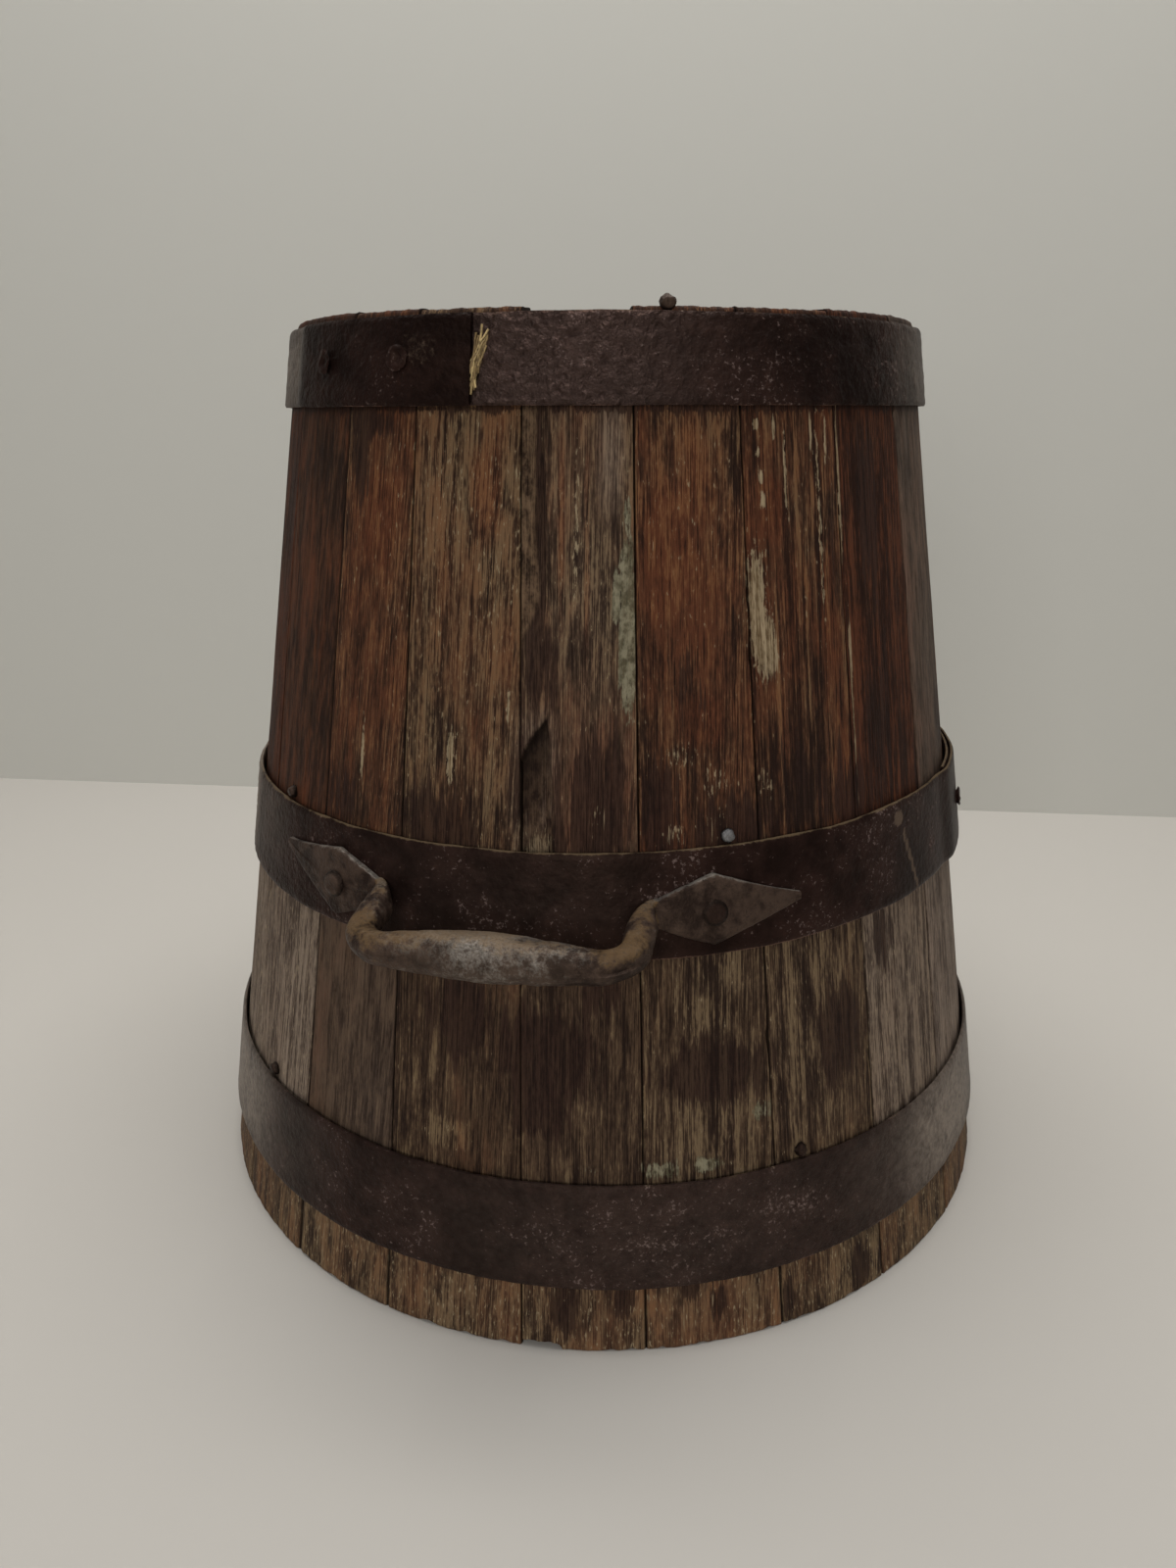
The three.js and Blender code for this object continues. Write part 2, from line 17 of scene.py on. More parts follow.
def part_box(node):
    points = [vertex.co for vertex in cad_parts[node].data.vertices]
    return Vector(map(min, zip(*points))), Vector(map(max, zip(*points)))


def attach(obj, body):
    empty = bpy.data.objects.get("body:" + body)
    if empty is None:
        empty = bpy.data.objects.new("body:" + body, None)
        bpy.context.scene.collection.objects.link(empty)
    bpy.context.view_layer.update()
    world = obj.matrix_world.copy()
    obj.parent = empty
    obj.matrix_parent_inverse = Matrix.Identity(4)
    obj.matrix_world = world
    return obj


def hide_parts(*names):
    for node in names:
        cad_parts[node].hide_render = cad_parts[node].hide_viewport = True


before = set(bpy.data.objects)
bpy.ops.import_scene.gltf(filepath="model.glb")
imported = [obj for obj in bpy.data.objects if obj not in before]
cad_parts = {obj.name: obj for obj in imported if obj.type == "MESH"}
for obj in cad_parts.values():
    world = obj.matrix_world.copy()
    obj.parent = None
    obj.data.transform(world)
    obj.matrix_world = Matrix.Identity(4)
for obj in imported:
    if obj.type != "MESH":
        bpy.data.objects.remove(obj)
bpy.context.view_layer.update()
scene = bpy.context.scene
scene.view_settings.view_transform = "Standard"
MM = 0.001

# %% [markdown]
# ## Measuring the tub
# Everything on the tub is placed by an azimuth, a height and a distance from the side. The side
# is a cone, so a foot radius and a taper say where it is. Both could be typed in, but the solids
# already hold them, and reading them keeps the two models in step when the solids change.

# %% Azimuths, radii and the taper
SAME = 1e-5  # heights this near each other are one height


def polar(points):
    """Radius, azimuth in degrees from -Y towards +X, and height of points."""
    x, y, z = np.asarray(points, float).T
    return np.hypot(x, y), np.degrees(np.arctan2(x, -y)), z


def place(radius, azimuth, z):
    """Points from radius, azimuth in degrees and height."""
    turn = np.radians(azimuth)
    return np.stack(np.broadcast_arrays(radius * np.sin(turn), -radius * np.cos(turn), z), -1)


def mesh_points(mesh):
    """A mesh's points, a row for each."""
    points = np.empty(len(mesh.vertices) * 3)
    mesh.vertices.foreach_get("co", points)
    return points.reshape(-1, 3)


def node_points(node):
    return mesh_points(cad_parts[node].data)


def named(word):
    """The solids with a word in their names, in order."""
    return sorted(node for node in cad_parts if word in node)


STAVES = named("stave_")
corner_radius, _, corner_z = polar(np.concatenate([node_points(node) for node in STAVES]))
TUB_HEIGHT = corner_z.max()
FOOT_RADIUS = corner_radius[corner_z < SAME].max()
RIM_RADIUS = corner_radius[corner_z > TUB_HEIGHT - SAME].max()
TAPER = (FOOT_RADIUS - RIM_RADIUS) / TUB_HEIGHT
SLOPE = math.atan(TAPER)


def side(z):
    """The tub's outer radius at a height."""
    return FOOT_RADIUS - TAPER * z


print(f"foot {FOOT_RADIUS:.4f}, rim {RIM_RADIUS:.4f}, height {TUB_HEIGHT:.4f}, taper {TAPER:.4f}")

# %% [markdown]
# ## Camera
# The measure was seen from a hand's height above its rim and close by, with a short lens. That
# closeness is what makes the foot loom and the hoops bow, so the distance matters more than the
# lens. The camera stands a little to the right of the front handle and looks slightly down.

# %% Camera
CAMERA_AZIMUTH = 11.8
CAMERA_DISTANCE, CAMERA_HEIGHT = 0.5666, 0.3749
CAMERA_YAW, CAMERA_PITCH, CAMERA_ROLL = -0.0148, 0.32834, -0.0027  # radians
IMAGE_HEIGHT_PX, FOCAL_PX, SENSOR_MM = 1600, 1109, 36
NEAREST = 0.02  # what is nearer to the lens is not drawn

eye = Vector(place(CAMERA_DISTANCE, CAMERA_AZIMUTH, CAMERA_HEIGHT))
forward = math.cos(CAMERA_PITCH)
ahead = Vector(
    (math.sin(CAMERA_YAW) * forward, math.cos(CAMERA_YAW) * forward, -math.sin(CAMERA_PITCH))
)
ahead = Matrix.Rotation(math.radians(CAMERA_AZIMUTH), 3, "Z") @ ahead
level = ahead.cross(Vector((0, 0, 1))).normalized()
right = level * math.cos(CAMERA_ROLL) + level.cross(ahead) * math.sin(CAMERA_ROLL)
axes = Matrix((right, right.cross(ahead), -ahead)).transposed()
camera = bpy.data.objects.new("camera", bpy.data.cameras.new("camera"))
camera.data.sensor_fit = "VERTICAL"
camera.data.sensor_height = SENSOR_MM
camera.data.lens = SENSOR_MM * FOCAL_PX / IMAGE_HEIGHT_PX
camera.data.clip_start = NEAREST
camera.matrix_world = Matrix.Translation(eye) @ axes.to_4x4()
scene.collection.objects.link(camera)
scene.camera = camera
print("camera at", [round(v, 3) for v in eye], "lens", round(camera.data.lens, 2), "mm")

# %% [markdown]
# ## Node trees written as sums
# A finish is mostly arithmetic on patterns: a streak is a noise, stretched, cut at a level and
# mixed into a colour. Clicking such sums together is slow to read back, so a small class wraps
# one socket of a tree. Adding or multiplying wires adds the Math node that does it, and `make`
# adds any other node. The same class serves materials and Geometry Nodes.


# %% The Wire class
class Wire:
    """An output socket. Operators add Math nodes to its tree, and make() adds any other node."""

    def __init__(self, tree, socket=None):
        self.tree = tree
        self.socket = socket

    def make(self, kind, settings=None, sockets=None, out=0):
        """A node of a kind, with its settings, then its sockets' values or wires."""
        node = self.tree.nodes.new(kind)
        for name, value in (settings or {}).items():
            setattr(node, name, value)
        for name, value in (sockets or {}).items():
            socket = next(s for s in node.inputs if name in (s.identifier, s.name))
            if isinstance(value, Wire):
                self.tree.links.new(value.socket, socket)
            else:
                socket.default_value = value
        if isinstance(out, str):
            return Wire(self.tree, next(s for s in node.outputs if out in (s.identifier, s.name)))
        return Wire(self.tree, node.outputs[out] if node.outputs else None)

    def sum(self, operation, *values):
        """A Math node, or a Vector Math node where a value is a vector."""
        if any(isinstance(v, Wire) and v.socket.type == "VECTOR" for v in values):
            kind, first = "ShaderNodeVectorMath", "Vector"
            values = [(v,) * 3 if isinstance(v, (int, float)) else v for v in values]
        else:
            kind, first = "ShaderNodeMath", "Value"
        names = (first, first + "_001", first + "_002")
        return self.make(kind, {"operation": operation}, dict(zip(names, values)))

    def __add__(self, other):
        return self.sum("ADD", self, other)

    def __sub__(self, other):
        return self.sum("SUBTRACT", self, other)

    def __rsub__(self, other):
        return self.sum("SUBTRACT", other, self)

    def __mul__(self, other):
        return self.sum("MULTIPLY", self, other)

    def __truediv__(self, other):
        return self.sum("DIVIDE", self, other)

    def __rtruediv__(self, other):
        return self.sum("DIVIDE", other, self)

    __radd__, __rmul__ = __add__, __mul__

    def swing(self, amount):
        """How far a pattern is above or below its middle, times an amount."""
        return (self - 0.5) * amount

    def rise(self, low, high):
        """0 below low, 1 above high, and smooth between."""
        sockets = {"Value": self, "From Min": low, "From Max": high}
        return self.make("ShaderNodeMapRange", {"interpolation_type": "SMOOTHSTEP"}, sockets)

    def paint(self, under, over):
        """One colour over another, masked by this wire. Three numbers are a screen colour."""
        sockets = {"Factor_Float": self, "A_Color": under, "B_Color": over}
        for name, tone in sockets.items():
            if isinstance(tone, tuple) and len(tone) == 3:
                sockets[name] = colour(*tone)
        return self.make("ShaderNodeMix", {"data_type": "RGBA"}, sockets, "Result_Color")

    def noise(self, stretch, detail=2.0, roughness=0.5, twist=0.0):
        """Smooth noise from 0 to 1, with this vector stretched as its place."""
        sockets = {"Vector": self * stretch, "Scale": 1.0, "Detail": detail}
        sockets.update({"Roughness": roughness, "Distortion": twist})
        return self.make("ShaderNodeTexNoise", None, sockets)

    def vector(self, x, y, z):
        """Three numbers or wires as one vector."""
        return self.make("ShaderNodeCombineXYZ", None, {"X": x, "Y": y, "Z": z})

    def parts(self):
        """This vector's x, y and z."""
        x = self.make("ShaderNodeSeparateXYZ", None, {"Vector": self})
        return [Wire(self.tree, socket) for socket in x.socket.node.outputs]


print("operators on a wire:", [name for name in vars(Wire) if name.startswith("__r")])


# %% Colours and finishes
def colour(red, green, blue):
    """A colour as it looks on a screen, 0 to 255, in the linear light that shaders use."""
    channels = [c / 255 for c in (red, green, blue)]
    linear = [c / 12.92 if c <= 0.04045 else ((c + 0.055) / 1.055) ** 2.4 for c in channels]
    return (*linear, 1)


def new_finish(name):
    """An empty material, and a bare wire to start its tree from."""
    material = bpy.data.materials.new(name)
    material.use_nodes = True
    material.node_tree.nodes.clear()
    return material, Wire(material.node_tree)


def attribute(start, name, out="Fac"):
    return start.make("ShaderNodeAttribute", {"attribute_name": name}, out=out)


def layered(under, *layers):
    """Colours laid one over another, each by its mask and a share of full strength."""
    for mask, share, tone in layers:
        under = (mask * share).paint(under, tone)
    return under


def finish_surface(start, sockets, height, depth, strength):
    """The shader, roughened by a Bump node, and the output."""
    bump = {"Height": height, "Distance": depth, "Strength": strength}
    sockets = dict(sockets, Normal=start.make("ShaderNodeBump", None, bump))
    shader = start.make("ShaderNodeBsdfPrincipled", None, sockets)
    start.make("ShaderNodeOutputMaterial", None, {"Surface": shader})


print("mid brown in linear light:", [round(c, 3) for c in colour(75, 45, 30)])

# %% [markdown]
# ## Floor, wall and light
# The measure stands on a pale table before a pale wall. The wall's face is plain; its back is
# clear, so a camera that goes round behind it still sees the measure. A wide soft lamp overhead,
# another in front like a window, and an even sky give the grey light of a shop on a dull day, at
# a level where a colour comes out about as it is written.

# %% Floor and wall
WALL_BEHIND, WALL_TURN = 0.486, 5.3  # metres behind the tub's axis; degrees off square to the view
FLOOR_TONE, WALL_TONE = (195, 190, 182), (198, 196, 188)
REACH = 6.0


def backdrop(name, corners, tone, at, clear_behind):
    """A plain pale sheet, which may be clear from behind."""
    mesh = bpy.data.meshes.new(name)
    mesh.from_pydata(corners, [], [(0, 1, 2, 3)])
    finish, start = new_finish(name)
    sockets = {"Base Color": colour(*tone), "Roughness": 0.7, "Specular IOR Level": 0.15}
    face = start.make("ShaderNodeBsdfPrincipled", None, sockets)
    if clear_behind:
        behind = start.make("ShaderNodeNewGeometry", out="Backfacing")
        clear = start.make("ShaderNodeBsdfTransparent")
        sockets = {"Fac": behind, "Shader": face, "Shader_001": clear}
        face = start.make("ShaderNodeMixShader", None, sockets)
    start.make("ShaderNodeOutputMaterial", None, {"Surface": face})
    mesh.materials.append(finish)
    sheet = bpy.data.objects.new(name, mesh)
    sheet.matrix_world = at
    scene.collection.objects.link(sheet)
    return sheet


square = [(-REACH, -REACH), (REACH, -REACH), (REACH, REACH), (-REACH, REACH)]
across_view = Matrix.Rotation(math.radians(CAMERA_AZIMUTH - WALL_TURN), 4, "Z")
wall_at = across_view @ Matrix.Translation((0, WALL_BEHIND, 0))
backdrops = [
    backdrop("floor", [(x, y, 0) for x, y in square], FLOOR_TONE, Matrix(), False),
    backdrop("wall", [(x, 0, max(z, 0)) for x, z in square], WALL_TONE, wall_at, True),
]
print("backdrops:", [sheet.name for sheet in backdrops])

# %% Lamps and sky
SKY_ZENITH, SKY_HORIZON = (0.42, 0.42, 0.42, 1), (0.05, 0.05, 0.05, 1)
# centre, what it is aimed at, width and height, watts
LAMPS = {
    "ceiling": ((0.0, 0.05, 1.8), (0, 0.1, 0), (1.4, 0.8), 21),
    "window": ((0.2, -2.7, 0.85), (0, 0, 0.3), (1.8, 1.1), 25),
}
world = bpy.data.worlds.new("sky")
world.use_nodes = True
world.node_tree.nodes.clear()
start = Wire(world.node_tree)
_, _, upward = start.make("ShaderNodeTexCoord", out="Generated").parts()
glow = upward.rise(0.0, 0.9).paint(SKY_HORIZON, SKY_ZENITH)
glow = start.make("ShaderNodeBackground", None, {"Color": glow, "Strength": 1.0})
start.make("ShaderNodeOutputWorld", None, {"Surface": glow})
scene.world = world

for name, (centre, target, size, watts) in LAMPS.items():
    lamp = bpy.data.objects.new(name, bpy.data.lights.new(name, "AREA"))
    lamp.data.shape = "RECTANGLE"
    lamp.data.size, lamp.data.size_y = size
    lamp.data.energy = watts
    lamp.location = centre
    aim = Vector(target) - Vector(centre)
    lamp.rotation_euler = aim.to_track_quat("-Z", "Y").to_euler()
    scene.collection.objects.link(lamp)
    print("lamp:", name, watts, "W")

# %% [markdown]
# ## Noise for shapes
# Old wood and hammered iron are uneven at every size, and that unevenness has to be in the mesh
# where it can be seen at an edge. Blender's noise works one point at a time in Python; this one
# takes whole arrays, is smooth, and gives the same numbers on every run.


# %% Noise on arrays
def hills(x, y, seed):
    """Smooth noise from 0 to 1 over the plane. x and y count the noise's own cells."""
    column, row = np.floor(x).astype(np.int64), np.floor(y).astype(np.int64)

    def corner(i, j):
        # large odd factors scramble a cell's column, row and seed into a number from 0 to 1
        mixed = (column + i) * 374761393 + (row + j) * 668265263 + seed * 974634777
        mixed = (mixed ^ (mixed >> 13)) * 1274126177
        return ((mixed ^ (mixed >> 16)) & 0xFFFF) / 0xFFFF

    x, y = x - column, y - row
    x, y = x * x * (3 - 2 * x), y * y * (3 - 2 * y)
    low = corner(0, 0) * (1 - x) + corner(1, 0) * x
    high = corner(0, 1) * (1 - x) + corner(1, 1) * x
    return low * (1 - y) + high * y


def rough_hills(x, y, seed, layers=3):
    """Hills with smaller hills on them."""
    total = sum(hills(x * 2**k, y * 2**k, seed + 71 * k) / 2**k for k in range(layers))
    return total / sum(0.5**k for k in range(layers))


def rise(value, low, high):
    """0 below low, 1 above high, and smooth between."""
    t = np.clip((value - low) / (high - low), 0, 1)
    return t * t * (3 - 2 * t)


print("noise at three places:", rough_hills(np.array([0.1, 1.6, 2.9]), 0.3, 1).round(3))


# %% Meshes from arrays
def store_values(mesh, name, values):
    """A number or a vector for each point of a mesh, kept under a name."""
    values = np.asarray(values, np.float32)
    kind, field = ("FLOAT_VECTOR", "vector") if values.ndim == 2 else ("FLOAT", "value")
    mesh.attributes.new(name, kind, "POINT").data.foreach_set(field, values.ravel())


def mesh_piece(name, points, quads, triangles, finish, attributes):
    """An object at the origin whose mesh has these points and faces, shaded smooth."""
    mesh = bpy.data.meshes.new(name)
    quads, triangles = np.asarray(quads).reshape(-1, 4), np.asarray(triangles).reshape(-1, 3)
    corners = np.concatenate([quads.ravel(), triangles.ravel()]).astype(np.int32)
    starts = np.arange(len(quads)) * 4, 4 * len(quads) + np.arange(len(triangles)) * 3
    starts = np.concatenate(starts).astype(np.int32)
    mesh.vertices.add(len(points))
    mesh.vertices.foreach_set("co", np.asarray(points, np.float32).ravel())
    mesh.loops.add(len(corners))
    mesh.loops.foreach_set("vertex_index", corners)
    mesh.polygons.add(len(starts))
    mesh.polygons.foreach_set("loop_start", starts)
    mesh.update(calc_edges=True)
    for key, values in attributes.items():
        store_values(mesh, key, values)
    mesh.materials.append(finish)
    mesh.shade_smooth()
    mesh.set_sharp_from_angle(angle=math.radians(50))
    piece = bpy.data.objects.new(name, mesh)
    scene.collection.objects.link(piece)
    return piece


def sheet_quads(rows, columns, first=0, flip=False):
    """The quads of a grid of points, numbered row by row from first."""
    corner = first + np.arange((rows - 1) * columns).reshape(rows - 1, columns)[:, :-1].ravel()
    quads = np.stack([corner, corner + 1, corner + columns + 1, corner + columns], 1)
    return quads[:, ::-1] if flip else quads


def zip_edges(one, other, one_at, other_at, flip=False):
    """Triangles between two rows of points, walked together by how far along each point is."""
    triangles, i, j = [], 0, 0
    while i < len(one) - 1 or j < len(other) - 1:
        if j == len(other) - 1 or (i < len(one) - 1 and one_at[i + 1] <= other_at[j + 1]):
            triangles.append((one[i], one[i + 1], other[j]))
            i += 1
        else:
            triangles.append((one[i], other[j + 1], other[j]))
            j += 1
    triangles = np.array(triangles)
    return triangles[:, ::-1] if flip else triangles


def stand_for(piece, slot, *nodes):
    """The piece rides the one body and stands for these solids; its slot is not used."""
    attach(piece, "root")
    if nodes:
        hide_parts(*nodes)
    return piece


print("a grid of 3 by 4 points has", len(sheet_quads(3, 4)), "quads")

# %% [markdown]
# ## Oak
# The staves are oak, stained dark by hands and smoke, and rubbed back to pale fibre where they
# rub. The grain runs up each stave, so the pattern is drawn in the stave's own directions: an
# attribute called `grain` holds metres across, along and into the wood. Noise stretched along the
# grain gives fibres and strands; other attributes say where a stave is rubbed, limewashed or
# smooth, where soot and painted shade darken it, where it is weathered grey or painted with sheen,
# and where its dark joints and the crack's painted shadow lie. The fibres break those up so that no
# mark has a soft round edge.

# %% Oak patterns
oak, start = new_finish("stave_oak")
OAK_LOOKS = ("rubbed", "red", "smooth", "grey", "lined", "soot")
OAK_LOOKS += ("lime", "inside", "seam", "pale", "bark")
looks = [attribute(start, key) for key in OAK_LOOKS]
rubbed, red, smooth, grey, lined, soot, lime, inside, seam, pale, bark = looks
grain = attribute(start, "grain", "Vector")
# cells to the metre across, along and into the wood; detail, roughness and twist
hair = grain.noise((2300, 50, 900), 2.0, 0.6, 0.2)
fibre = grain.noise((1000, 26, 500), 3.0, 0.65, 0.2)
strand = grain.noise((280, 14, 180), 4.0, 0.65, 0.3)
stripe = grain.noise((460, 5, 300), 3.0, 0.6, 0.1)
smear = grain.noise((100, 22, 80), 5.0, 0.7, 0.5)
blot = grain.noise((210, 52, 160), 5.0, 0.65, 0.4)
cloud = grain.noise((34, 13, 34), 2.0)
chip = grain.noise((1000, 230, 900), 3.0, 0.65)
lump = grain.noise((330, 190, 300), 4.0, 0.65)
lines = (hair * 0.45 + fibre * 0.35 + strand * 0.2).swing(1.25)
lines = lines + stripe.swing(0.75) * lined + chip.swing(0.35)
lines = lines * (1 - smooth * 0.5) + 0.5
blotches = smear.swing(0.5) + blot.swing(0.5)
print("oak patterns:", len(oak.node_tree.nodes), "nodes")

# %% Oak finish
WARM_GLOSS = colour(255, 214, 188)  # grease and smoke tint what the surface reflects
warm = (red + smear.swing(0.9) + cloud.swing(1.2) + blot.swing(0.9)).rise(0.1, 1.0)
deep = warm.paint((36, 26, 22), (45, 27, 21))
stain = warm.paint((78, 60, 45), (93, 55, 38))
tan = warm.paint((128, 108, 81), (130, 91, 60))
shade = lines + blotches * 0.75 + cloud.swing(0.3) + rubbed.swing(0.12)
bare = lines + blotches * 0.8 - warm.swing(0.04) + rubbed.swing(0.4) - smooth * 0.04
bare = bare.rise(0.52, 0.65)
pores = (hair * 0.65 + fibre * 0.35).rise(0.45, 0.37) * (1 - smooth * 0.6)
dirt_and_shade = (soot + strand.swing(2.0) + smear.swing(0.9) + fibre.swing(1.4)).rise(0.5, 0.62)
fleck = chip * 0.8 + strand * 0.2 + rubbed.swing(0.2) + pale * 0.25 - smooth * 0.12
fleck = (fleck - dirt_and_shade * 0.06).rise(0.62, 0.69)
peeled = (pale + fibre.swing(1.3) + smear.swing(0.9) + hair.swing(0.7)).rise(0.56, 0.68)
washed = (lime + fibre.swing(0.8) + smear.swing(1.2) + chip.swing(0.8)).rise(0.5, 0.64)
grey_and_sheen_tone = (lines + blotches * 0.6).rise(0.36, 0.64)
gnarled = (lump * 0.6 + lines * 0.4).rise(0.4, 0.62)
wood = layered(
    shade.rise(0.34, 0.58).paint(deep, stain),
    (bare, 0.66, tan),
    (pores, 0.5, (28, 20, 17)),
    # weathered grey, which on the side staves and near the top of the waney stave is also painted
    # sheen
    (grey, 0.8, grey_and_sheen_tone.paint((80, 66, 56), (156, 141, 128))),
    # soot and dirt, and painted shade under the top hoop and on the upper side staves
    (dirt_and_shade, 0.85, lines.rise(0.4, 0.6).paint((30, 21, 19), (52, 36, 31))),
    (fleck, 0.7, (164, 147, 118)),
    (peeled, 0.85, lines.rise(0.38, 0.6).paint((106, 87, 62), (166, 147, 118))),
    (washed, 0.8, lump.rise(0.36, 0.64).paint((84, 80, 62), (146, 140, 116))),
    (bark, 0.85, gnarled.paint((36, 26, 21), (112, 90, 70))),
    (inside, 0.6, lines.rise(0.35, 0.65).paint((84, 66, 48), (146, 120, 86))),
    # dark joints, and the crack's painted shadow
    (seam, 0.9, (20, 15, 13)),
)
dull = 0.62 + bare * 0.12 + washed * 0.2 - dirt_and_shade * 0.08 + strand.swing(0.2)
relief = lines * (1 - smooth * 0.5) + fleck * 0.12 + washed * 0.25 + peeled * 0.15 + bark * lump
gloss = {"Specular IOR Level": 0.09, "Specular Tint": WARM_GLOSS}
finish_surface(start, {"Base Color": wood, "Roughness": dull, **gloss}, relief, 1.1 * MM, 0.85)
print("oak:", len(oak.node_tree.nodes), "nodes")

# %% [markdown]
# ## What happened to the staves
# No two staves have aged alike. A table gives each of the nine in view how red, rubbed, smooth,
# grey and lined it is above and below the middle hoop, where grey on the side staves is also
# painted sheen; the rest draw theirs from a seeded generator. Single marks come on top: limewash
# left in a corner, soot over a hoop, painted shade on the upper side staves, a painted highlight
# near the top of the waney stave, drips at the foot, and on the hoops scrapes, runs and a grey
# film of dust with painted sheen at their sides. A mark is a soft oval in millimetres, whose edge
# the finish's own noise tears.

# %% Wear by stave
OAK_WEAR = ("red", "rubbed", "smooth", "grey", "lined")
# these five above the middle hoop, then below it
STAVE_WEAR = {
    # grey is weathering, and on stave_22, stave_01, stave_07 and stave_08 below the middle hoop,
    # and on stave_08 above it, also painted sheen
    "stave_22": ((0.9, 0.08, 0.2, 0.0, 0.5), (0.1, 0.78, 0.0, 0.9, 0.7)),
    "stave_01": ((0.6, 0.12, 0.6, 0.0, 0.2), (0.1, 0.65, 0.0, 0.75, 0.7)),
    "stave_02": ((0.6, 0.6, 0.15, 0.0, 0.2), (0.05, 0.3, 0.7, 0.16, 0.2)),
    "stave_03": ((0.42, 0.72, 0.1, 0.02, 0.4), (0.1, 0.36, 0.1, 0.02, 0.5)),
    "stave_04": ((0.3, 0.6, 0.12, 0.1, 0.3), (0.05, 0.34, 0.1, 0.04, 0.5)),
    "stave_05": ((0.65, 0.6, 0.12, 0.0, 0.2), (0.05, 0.53, 0.1, 0.05, 0.7)),
    "stave_06": ((0.65, 0.48, 0.05, 0.0, 1.0), (0.05, 0.53, 0.1, 0.06, 0.6)),
    "stave_07": ((0.9, 0.08, 0.0, 0.0, 1.0), (0.15, 0.6, 0.1, 0.6, 0.6)),
    "stave_08": ((0.3, 0.15, 0.7, 0.3, 0.2), (0.15, 0.5, 0.3, 0.8, 0.4)),
}
FOOT_WEAR = (0.35, 0.74, 0.6, 0.04, 0.1)  # these five on every stave below the bottom hoop
UPPER_SPANS = ((0.2, 0.8), (0.1, 0.6), (0.05, 0.6), (0, 0.25), (0.1, 0.9))
LOWER_SPANS = ((0.1, 0.35), (0.3, 0.6), (0.05, 0.5), (0.1, 0.5), (0.2, 0.8))
print("staves whose wear is set:", len(STAVE_WEAR))

# %% Marks by place
HOOP_MARKS = ("scrape", "run", "chipped", "film")
